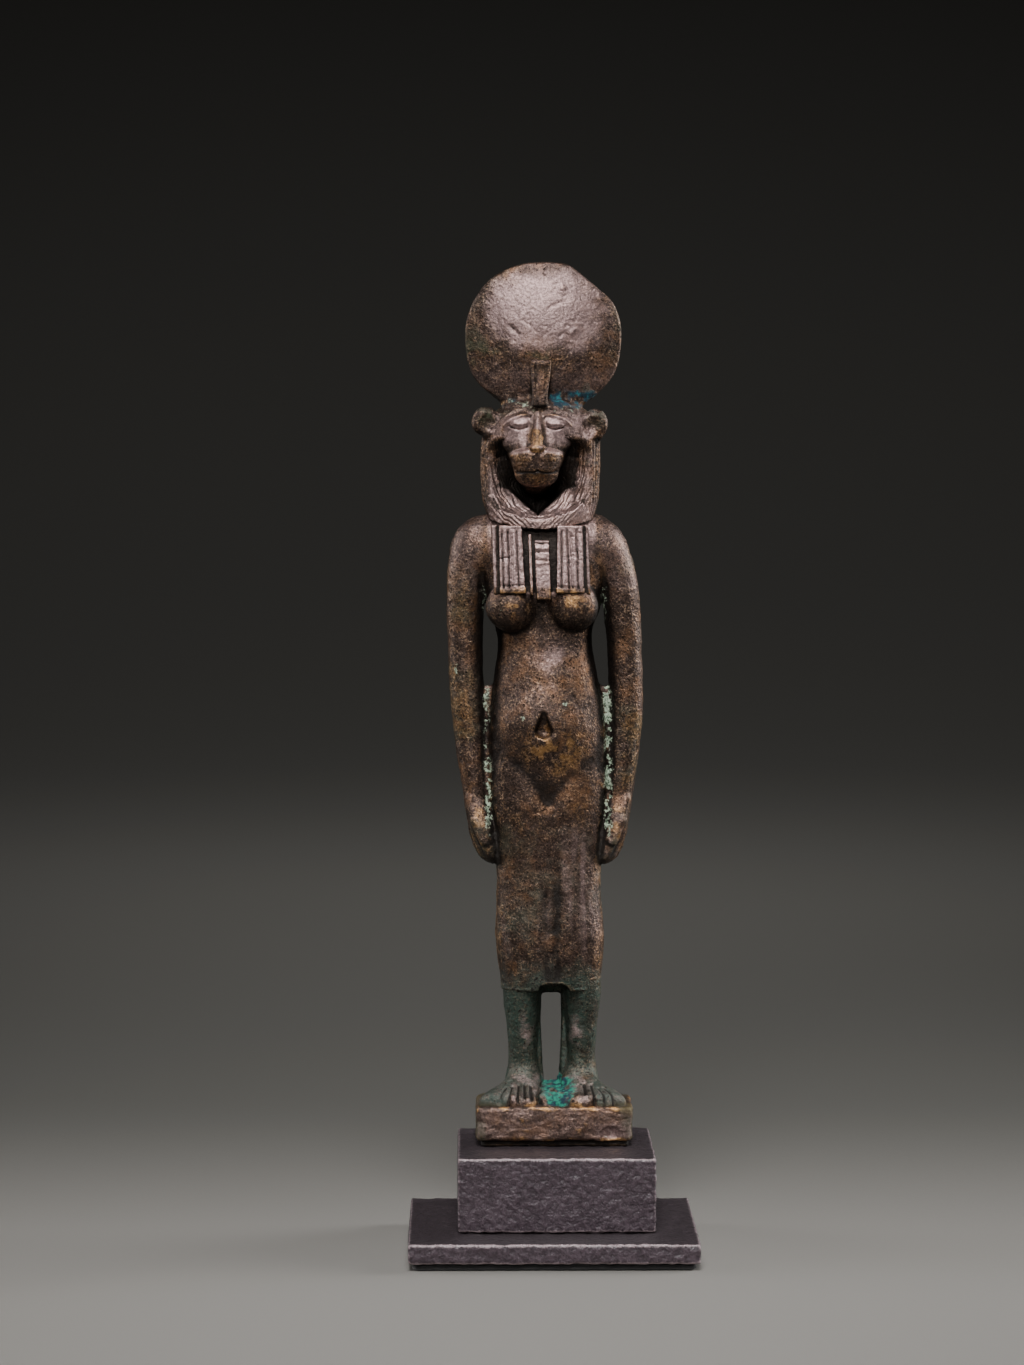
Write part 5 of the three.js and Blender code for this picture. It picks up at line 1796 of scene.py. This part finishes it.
@dataclass
class BronzePlinth(BronzePiece):
    """The plinth cast in one with the feet, with soft uneven edges, an inset underside and a chip."""

    name: str = "bronze_plinth"
    low: Point = (-9.8, -7.3, -4.9)
    high: Point = (10.4, 5.2, 0.5)
    cell: float = 0.17
    skin_depth: float = 0.05
    front_sheen: float = 0.34
    seed: int = 107
    middle: Point = (0.3, -1.045, -2.09)
    half: Point = (9.27, 5.57, 2.09)
    corner: float = 1.0
    back_rounding: float = 1.3
    underside: float = 0.56
    underside_middle: float = -4.3
    underside_half: float = 0.474
    chip: Ball = Ball((7.0, -6.8, -3.4), (1.5, 0.55, 1.1))

    def solid(self, place: Place) -> Array:
        """Plinth body, inset underside and the chipped corner.

        Args:
            place: Arrays of x, y and height.

        Returns:
            Distances, negative inside.
        """
        x, y, h = place
        wobble = 0.06 * Grain(109).at((x, y * 0.3, h * 0.3), 3.0)
        back = ramp(y, -3.0, 3.5)
        corner = self.corner + self.back_rounding * back
        beyond_x = np.abs(x - self.middle[0]) - (self.half[0] - corner)
        beyond_y = np.abs(y - self.middle[1]) - (self.half[1] - corner)
        outline = np.hypot(np.maximum(beyond_x, 0.0), np.maximum(beyond_y, 0.0))
        outline = outline + np.minimum(np.maximum(beyond_x, beyond_y), 0.0) - corner
        body = keep(outline + wobble, np.abs(h - self.middle[2]) - self.half[2] + wobble, 0.55)
        foot = np.maximum(outline + self.underside, np.abs(h - self.underside_middle) - self.underside_half)
        return cut(np.minimum(body, foot), self.chip.at(place), 0.12)

    def shade(self, place: Place, facing: Array) -> Array:
        """Painted shade on the inset underside."""
        return 1.3 * ramp(place[2], -4.05, -4.2)

    def relief(self, place: Place, facing: Array) -> Array:
        """Dents along the edges and scratches across the front.

        Args:
            place: Arrays of x, y and height.
            facing: Direction each point faces. Not used.

        Returns:
            How far each point moves outwards.
        """
        dents = 0.09 * Grain(113).rough(place, 1.6, 3)
        scratches = 0.03 * Grain(127).rough((place[0] * 0.3, place[1], place[2] * 1.4), 0.4, 2)
        return dents + scratches


@dataclass
class StandStep(Carving):
    """One painted step of the stand, with its edges only just rounded and an orange-peel skin."""

    node: str = "stand_block"
    slot: Slot = Slot.PAINT
    rounding: float = 0.4
    peel: float = 0.1
    peel_size: float = 1.15
    rub_start: float = -0.75
    rub_full: float = -0.25
    upright_inset: float = 0.8
    upright_rub: float = 0.5
    half: Point = (1.0, 1.0, 1.0)
    centre: Point = (0.0, 0.0, 0.0)

    def measure(self) -> None:
        """Takes the step's size and place, in millimetres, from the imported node."""
        low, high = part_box(self.node)
        self.centre = tuple((low + high) / 2 / MILLIMETRE)
        self.half = tuple((high - low) / 2 / MILLIMETRE)
        margin = 2.2 * self.cell
        self.low = tuple(c - s - margin for c, s in zip(self.centre, self.half))
        self.high = tuple(c + s + margin for c, s in zip(self.centre, self.half))

    def solid(self, place: Place) -> Array:
        """The step as a box with rounded edges."""
        inset = [size - self.peel for size in self.half]
        return rounded_box(place, self.centre, inset, self.rounding)

    def skin(self, place: Place) -> Array:
        """Orange-peel relief of the thick paint."""
        broad = Grain(self.seed).rough(place, self.peel_size, 2)
        return self.peel * np.clip(broad, -1.2, 1.0)

    def build(self, finish: bpy.types.Material) -> bpy.types.Object:
        """Carves the step and sets it in the frame.

        Args:
            finish: The material of the step.

        Returns:
            The finished object.
        """
        self.measure()
        points, quads, facing, _ = self.laid()
        gaps = np.sort(np.abs(points - self.centre) - self.half, axis=1)
        edge = ramp(gaps[:, 1], self.rub_start, self.rub_full)
        edge = edge * (0.55 + 0.45 * ramp(-facing[:, 1], -0.1, 0.5))
        upright = np.abs(points[:, 2] - self.centre[2]) - self.half[2] < -self.upright_inset
        edge = edge * np.where(upright, self.upright_rub, 1.0)
        ones = np.ones(len(points))
        # The second value marks the faces that look up, where the paint gets painted shade.
        edges = np.stack([edge, ramp(facing[:, 2], 0.4, 0.9), ones * 0.0, ones], axis=1)
        return self.set_in_frame(points * MILLIMETRE, quads, {"polish_and_painted_light": edges}, finish)


# Finishes


@dataclass(frozen=True)
class Reading:
    """A shader socket whose arithmetic is written with Python's operators."""

    graph: "Graph"
    socket: bpy.types.NodeSocket

    def calculated(self, operation: str, first: object, second: object) -> "Reading":
        """Adds one Math node."""
        node = self.graph.add("ShaderNodeMath", {"operation": operation}, {0: first, 1: second})
        return Reading(self.graph, node.outputs[0])

    def __add__(self, other: object) -> "Reading":
        """Sum of the two."""
        return self.calculated("ADD", self, other)

    __radd__ = __add__

    def __sub__(self, other: object) -> "Reading":
        """Difference of the two."""
        return self.calculated("SUBTRACT", self, other)

    def __rsub__(self, other: object) -> "Reading":
        """Difference with this one taken away."""
        return self.calculated("SUBTRACT", other, self)

    def __mul__(self, other: object) -> "Reading":
        """Product of the two."""
        return self.calculated("MULTIPLY", self, other)

    __rmul__ = __mul__

    def between(self, low: float, high: float) -> "Reading":
        """Rises smoothly from 0 at low to 1 at high.

        Args:
            low: Value that gives 0.
            high: Value that gives 1.

        Returns:
            The smooth share.
        """
        node = self.graph.add(
            "ShaderNodeMapRange",
            {"interpolation_type": "SMOOTHSTEP"},
            {"Value": self, "From Min": low, "From Max": high, "To Min": 0.0, "To Max": 1.0},
        )
        return Reading(self.graph, node.outputs[0])


class Graph:
    """Builds the nodes of one material."""

    def __init__(self, name: str) -> None:
        """Starts an empty material with an object-space position to read.

        Args:
            name: The material's name.
        """
        self.material = bpy.data.materials.new(name)
        self.material.use_nodes = True
        self.tree = self.material.node_tree
        self.tree.nodes.clear()
        self.position = self.add("ShaderNodeTexCoord", {}, {}).outputs["Object"]

    def add(self, kind: str, settings: dict, sockets: dict) -> bpy.types.Node:
        """Adds one node.

        Args:
            kind: The node's type.
            settings: Attributes that are set first.
            sockets: A value or a link for each input, by name or number.

        Returns:
            The new node.
        """
        node = self.tree.nodes.new(kind)
        for key, setting in settings.items():
            setattr(node, key, setting)
        for key, content in sockets.items():
            source = content.socket if isinstance(content, Reading) else content
            if isinstance(source, bpy.types.NodeSocket):
                self.tree.links.new(source, node.inputs[key])
            else:
                node.inputs[key].default_value = source
        return node

    def noise(self, size: float, detail: float, roughness: float, distortion: float = 0.0) -> Reading:
        """Cloudy pattern.

        Args:
            size: Spacing of the clouds in millimetres.
            detail: How many finer layers are added.
            roughness: How strong the finer layers are.
            distortion: How far the clouds are stirred.

        Returns:
            Values around one half.
        """
        sockets = {
            "Vector": self.position,
            "Scale": 1.0 / (size * MILLIMETRE),
            "Detail": detail,
            "Roughness": roughness,
            "Distortion": distortion,
        }
        return Reading(self, self.add("ShaderNodeTexNoise", {}, sockets).outputs[0])

    def layer(self, name: str) -> list[Reading]:
        """The four values painted on the mesh under a name.

        Args:
            name: Name of the colour layer.

        Returns:
            Red, green, blue and alpha.
        """
        attribute = self.add("ShaderNodeAttribute", {"attribute_name": name}, {})
        parts = self.add("ShaderNodeSeparateColor", {}, {0: attribute.outputs["Color"]})
        readings = [Reading(self, parts.outputs[index]) for index in range(3)]
        return readings + [Reading(self, attribute.outputs["Alpha"])]

    def mixed(self, first: object, second: object, share: object) -> bpy.types.NodeSocket:
        """Goes from one colour to another.

        Args:
            first: Colour where the share is 0.
            second: Colour where the share is 1.
            share: How much of the second colour.

        Returns:
            The mixed colour.
        """
        node = self.add(
            "ShaderNodeMix",
            {"data_type": "RGBA", "clamp_factor": True},
            {0: share, 6: first, 7: second},
        )
        return node.outputs[2]

    def finished(self, surface: dict, height: Reading, depth: float) -> bpy.types.Material:
        """Closes the material with one shader.

        Args:
            surface: Values and links of the shader's sockets.
            height: Fine relief that the light shows.
            depth: Depth of that relief in millimetres.

        Returns:
            The finished material.
        """
        bump = self.add(
            "ShaderNodeBump", {}, {"Strength": 1.0, "Distance": depth * MILLIMETRE, "Height": height}
        )
        shader = self.add("ShaderNodeBsdfPrincipled", {}, {**surface, "Normal": bump.outputs[0]})
        self.add("ShaderNodeOutputMaterial", {}, {0: shader.outputs[0]})
        return self.material


@dataclass(frozen=True)
class BronzeFinish:
    """Old bronze: brown patina with dark pits, worn golden edges and green corrosion, with painted sheen,
    painted highlights and painted shade from the mesh's colour layers.
    """

    dark: Colour = (0.014, 0.010, 0.008, 1.0)
    deep: Colour = (0.030, 0.021, 0.017, 1.0)
    brown: Colour = (0.098, 0.064, 0.050, 1.0)
    warm: Colour = (0.210, 0.102, 0.045, 1.0)
    gold: Colour = (0.50, 0.27, 0.10, 1.0)
    warm_grain: Colour = (0.42, 0.275, 0.175, 1.0)
    # Pinkish colour of the painted sheen, a painted highlight.
    painted_sheen: Colour = (0.45, 0.31, 0.295, 1.0)
    pit: Colour = (0.008, 0.005, 0.004, 1.0)
    chalk: Colour = (0.38, 0.45, 0.33, 1.0)
    chalk_deep: Colour = (0.040, 0.068, 0.040, 1.0)
    teal: Colour = (0.002, 0.020, 0.034, 1.0)
    teal_light: Colour = (0.011, 0.115, 0.135, 1.0)
    turquoise: Colour = (0.012, 0.19, 0.125, 1.0)
    olive: Colour = (0.040, 0.044, 0.022, 1.0)
    low_green: Colour = (0.032, 0.062, 0.048, 1.0)

    def material(self) -> bpy.types.Material:
        """Builds the bronze's nodes.

        Returns:
            The material.
        """
        graph = Graph("old_bronze")
        chalk, teal, olive, dirt_and_shade = graph.layer("crust")
        wear_and_highlight, painted_sheen, height, _ = graph.layer("polish_and_painted_light")
        cloud = graph.noise(9.0, 3.0, 0.55)
        patch = graph.noise(2.6, 4.0, 0.6, 0.4)
        mottle = graph.noise(1.6, 3.0, 0.6)
        speck = graph.noise(0.8, 2.0, 0.6)
        grit = graph.noise(0.4, 2.0, 0.6)
        dust = graph.noise(0.38, 3.0, 0.7)
        low = height.between(0.28, 0.14)
        on_plinth = height.between(0.006, 0.001)
        clean = (1.0 - painted_sheen.between(0.2, 0.9) * 0.75) * (1.0 - on_plinth * 0.6)
        fine = dust * 0.6 + grit * 0.4
        tone = (cloud * 0.3 + patch * 0.4 + speck * 0.3 + fine).between(0.78, 1.12)
        colour = graph.mixed(self.deep, self.brown, tone + on_plinth * 0.45)
        warmed = (cloud * 0.4 + patch * 0.5 + fine * 0.4).between(0.62, 0.8)
        colour = graph.mixed(colour, self.warm, warmed * 0.8)
        # Golden worn metal, with painted highlights at the chin and thumbs.
        worn = (wear_and_highlight * 0.95 + mottle * 0.6 + dust * 1.2 - 1.15).between(0.0, 0.8)
        colour = graph.mixed(colour, self.gold, worn * 0.72)
        greened = (olive * 0.9 + mottle * 0.9 + patch * 0.4 - 0.95).between(0.0, 0.55)
        green = graph.mixed(self.olive, self.low_green, low - on_plinth)
        colour = graph.mixed(colour, green, greened * 0.85)
        flecks = (dust * 0.8 + mottle * 0.3).between(0.58, 0.70)
        flecks = flecks * (0.62 - greened * 0.45 - on_plinth * 0.25)
        colour = graph.mixed(colour, self.warm_grain, flecks)
        # Painted sheen: the pinkish highlight colour is laid where the sheen layer is high.
        sheen_share = (painted_sheen + patch * 0.4 + mottle * 0.4 - 0.42).between(0.0, 1.0)
        colour = graph.mixed(colour, self.painted_sheen, sheen_share * (0.5 + fine.between(0.42, 0.58) * 0.45))
        darkened = (speck * 0.5 + grit * 0.5 + patch * 0.3).between(0.67, 0.8) * clean
        colour = graph.mixed(colour, self.dark, darkened * 0.7)
        # Grime and painted shade from the crust layer's fourth value darken the colour.
        colour = graph.mixed(colour, self.dark, (dirt_and_shade * 1.1 - wear_and_highlight * 0.3).between(0.15, 0.95) * 0.95)
        pitted = (speck * 0.3 + grit * 0.6 + patch * 0.25).between(0.66, 0.77) * clean
        colour = graph.mixed(colour, self.pit, pitted * 0.75)
        chalked = (chalk * 1.1 + dust * 1.5 + speck * 0.9 - 1.75).between(0.0, 0.45)
        chalky = graph.mixed(self.chalk_deep, self.chalk, (dust * 0.7 + speck * 0.4).between(0.46, 0.64))
        colour = graph.mixed(colour, chalky, chalked)
        tealed = (teal * 1.2 + mottle * 0.7 + patch * 0.3 - 0.66).between(0.0, 0.6)
        bright_teal = graph.mixed(self.teal_light, self.turquoise, low)
        brighter = (mottle * 0.7 + speck * 0.5 + low * 0.1).between(0.58, 0.84)
        crusted = graph.mixed(self.teal, bright_teal, brighter)
        colour = graph.mixed(colour, crusted, tealed)
        matt = (chalked + tealed + greened * 0.35 + dirt_and_shade * 0.3).between(0.0, 1.0)
        roughness = 0.42 + mottle * 0.12 + pitted * 0.3 + matt * 0.4
        metal = 0.88 * (1.0 - matt)
        rough = mottle * 0.2 + speck * 0.4 + grit * 0.6 + dust * 0.6
        rough = rough * (1.0 - painted_sheen.between(0.2, 0.8) * 0.35) - pitted * 0.4 + matt * dust * 0.5
        surface = {
            "Base Color": colour,
            "Roughness": roughness,
            "Metallic": metal,
            "Specular IOR Level": 0.5,
        }
        return graph.finished(surface, rough, 0.15)


@dataclass(frozen=True)
class StandPaint:
    """Thick dark plum paint with an orange-peel skin and edges rubbed pale, and painted shade that darkens
    the faces that look up.
    """

    plum: Colour = (0.034, 0.023, 0.029, 1.0)
    plum_light: Colour = (0.070, 0.049, 0.060, 1.0)
    shadowed: Colour = (0.020, 0.016, 0.017, 1.0)
    edge: Colour = (0.34, 0.26, 0.27, 1.0)

    def material(self) -> bpy.types.Material:
        """Builds the paint's nodes.

        Returns:
            The material.
        """
        graph = Graph("plum_paint")
        edge, top, _, _ = graph.layer("polish_and_painted_light")
        cloud = graph.noise(6.0, 2.0, 0.5)
        peel = graph.noise(1.0, 2.0, 0.5)
        fine = graph.noise(0.3, 2.0, 0.5)
        lighter = (cloud * 0.2 + fine * 0.4 + peel * 0.4).between(0.4, 0.62)
        colour = graph.mixed(self.plum, self.plum_light, lighter)
        # Painted shade: faces that look up are darkened towards the shadowed colour.
        colour = graph.mixed(colour, self.shadowed, top * 0.75)
        rubbed = (edge * 0.9 + fine * 0.9 + peel * 0.5 - 0.95).between(0.0, 0.6)
        colour = graph.mixed(colour, self.edge, rubbed * 0.8)
        surface = {
            "Base Color": colour,
            "Roughness": 0.34 + fine * 0.2,
            "Metallic": 0.0,
            "Specular IOR Level": 0.5,
        }
        return graph.finished(surface, peel * 0.9 + fine * 0.1, 0.4)


@dataclass(frozen=True)
class BlackFelt:
    """Thin black felt under the stand; its black also stands for the shade in the gap below the stand."""

    black: Colour = (0.012, 0.011, 0.011, 1.0)
    lint: Colour = (0.035, 0.033, 0.034, 1.0)

    def material(self) -> bpy.types.Material:
        """Builds the felt's nodes.

        Returns:
            The material.
        """
        graph = Graph("black_felt")
        fibre = graph.noise(0.35, 4.0, 0.7, 0.8)
        clump = graph.noise(1.8, 2.0, 0.5)
        colour = graph.mixed(self.black, self.lint, (fibre * 0.7 + clump * 0.4).between(0.45, 0.8))
        surface = {
            "Base Color": colour,
            "Roughness": 0.95,
            "Sheen Weight": 0.4,
            "Sheen Roughness": 0.5,
        }
        return graph.finished(surface, fibre, 0.15)


@dataclass(frozen=True)
class StudioPaper:
    """Plain sweep of grey paper, its colour painted lighter under the object and deeper behind it as a
    painted falloff of the light.
    """

    lighter: Colour = (0.185, 0.176, 0.163, 1.0)
    deeper: Colour = (0.084, 0.081, 0.074, 1.0)
    lighter_until: float = -0.05
    deeper_from: float = 0.17

    def material(self) -> bpy.types.Material:
        """Builds the paper's nodes.

        Returns:
            The material.
        """
        graph = Graph("studio_paper")
        fibre = graph.noise(1.2, 3.0, 0.6)
        parts = graph.add("ShaderNodeSeparateXYZ", {}, {0: graph.position})
        along = Reading(graph, parts.outputs[1]) + fibre * 0.01
        # Painted falloff of the light: the colour goes from lighter under the object to deeper behind it.
        share = along.between(self.lighter_until, self.deeper_from)
        colour = graph.mixed(self.lighter, self.deeper, share)
        surface = {"Base Color": colour, "Roughness": 0.9, "Specular IOR Level": 0.1}
        return graph.finished(surface, fibre, 0.03)


# Studio


@dataclass(frozen=True)
class SoftBox:
    """One square soft light, with its side in metres, power in watts and beam in degrees."""

    name: str
    place: Point
    aim: Point
    size: float
    power: float
    beam: float

    def hang(self) -> None:
        """Adds the light to the scene."""
        light = bpy.data.lights.new(self.name, "AREA")
        light.size = self.size
        light.energy = self.power
        light.spread = math.radians(self.beam)
        holder = bpy.data.objects.new(self.name, light)
        holder.location = self.place
        holder.rotation_euler = (Vector(self.aim) - Vector(self.place)).to_track_quat("-Z", "Y").to_euler()
        bpy.context.scene.collection.objects.link(holder)


@dataclass
class Studio:
    """Paper sweep, soft lights and the camera at the photograph's angle, all in metres."""

    camera_place: Point = (-0.01443, -0.72955, 0.14257)
    camera_down: float = math.radians(3.61)
    camera_right: float = math.radians(0.597)
    lens: float = 113.93
    sensor: float = 36.0
    half_width: float = 3.0
    flat_radius: float = 1.0
    rise: float = 0.6
    sweep_steps: int = 60
    nearest_seen: float = 0.01
    farthest_seen: float = 20.0
    room_colour: Colour = (0.9, 0.92, 1.0, 1.0)
    room_light: float = 0.015
    lights: tuple[SoftBox, ...] = (
        SoftBox("key", (-0.03, -0.58, 0.76), (0.0, -0.09, 0.0), 0.36, 0.75, 34.0),
        SoftBox("front", (-0.1, -0.8, 0.5), (0.0, 0.0, 0.15), 0.3, 0.12, 22.0),
        SoftBox("backdrop", (0.0, 0.2, 0.7), (0.0, 0.55, 0.0), 0.3, 0.6, 62.0),
        SoftBox("wall", (0.0, 0.9, 1.5), (0.0, 1.15, 0.1), 0.8, 1.45, 78.0),
        SoftBox("right", (0.5, 0.12, 0.25), (0.0, 0.0, 0.1), 0.25, 0.8, 80.0),
        SoftBox("left", (-0.55, 0.12, 0.25), (0.0, 0.0, 0.1), 0.25, 0.38, 80.0),
    )

    def build_sweep(self) -> None:
        """Makes the floor, flat around the object and curving up into a wall on every side."""
        steps = np.linspace(-self.half_width, self.half_width, self.sweep_steps + 1)
        x, y = (values.ravel() for values in np.meshgrid(steps, steps))
        z = self.rise * np.maximum(np.hypot(x, y) - self.flat_radius, 0.0) ** 2
        row = self.sweep_steps + 1
        starts = np.arange(self.sweep_steps)
        first = (starts[:, None] * row + starts).reshape(-1, 1)
        quads = first + np.array([[0, 1, row + 1, row]])
        sweep = mesh_object("paper_sweep", np.stack([x, y, z], axis=1), quads, {})
        sweep.data.materials.append(StudioPaper().material())

    def build_camera(self) -> None:
        """Sets the camera where the photograph was taken from."""
        camera = bpy.data.cameras.new("camera")
        camera.lens = self.lens
        camera.sensor_width = self.sensor
        camera.sensor_fit = "AUTO"
        camera.clip_start = self.nearest_seen
        camera.clip_end = self.farthest_seen
        holder = bpy.data.objects.new("camera", camera)
        forward = Vector(
            (
                math.sin(self.camera_right) * math.cos(self.camera_down),
                math.cos(self.camera_right) * math.cos(self.camera_down),
                -math.sin(self.camera_down),
            )
        )
        holder.location = self.camera_place
        holder.rotation_euler = forward.to_track_quat("-Z", "Y").to_euler()
        bpy.context.scene.collection.objects.link(holder)
        bpy.context.scene.camera = holder

    def build_lights(self) -> None:
        """Hangs the soft boxes and sets the even light of the room."""
        for light in self.lights:
            light.hang()
        world = bpy.data.worlds.new("room")
        world.use_nodes = True
        background = world.node_tree.nodes["Background"]
        background.inputs["Color"].default_value = self.room_colour
        background.inputs["Strength"].default_value = self.room_light
        bpy.context.scene.world = world


def main() -> None:
    """Builds the statue, its stand and the studio, in that order."""
    logging.basicConfig(level=logging.INFO, format="%(message)s")
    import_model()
    place = FigurePlace()
    bronze = BronzeFinish().material()
    pieces = (
        SunDisk(),
        RearingCobra(),
        LionessFace(),
        StripedWig(),
        WigLappets(),
        GoddessBody(),
        LegsAndFeet(),
        BronzePlinth(),
    )
    for piece in pieces:
        piece.build(place, bronze)
    paint = StandPaint().material()
    StandStep(name="painted_block", node="stand_block", cell=0.38, seed=131).build(paint)
    StandStep(name="painted_plate", node="stand_plate", cell=0.42, seed=137).build(paint)
    pad = StandStep(
        name="felt_pad",
        node="stand_felt_pad",
        slot=Slot.FELT,
        cell=0.6,
        rounding=0.15,
        peel=0.03,
        seed=139,
    )
    pad.build(BlackFelt().material())
    studio = Studio()
    studio.build_sweep()
    studio.build_lights()
    studio.build_camera()


if __name__ == "__main__":
    main()
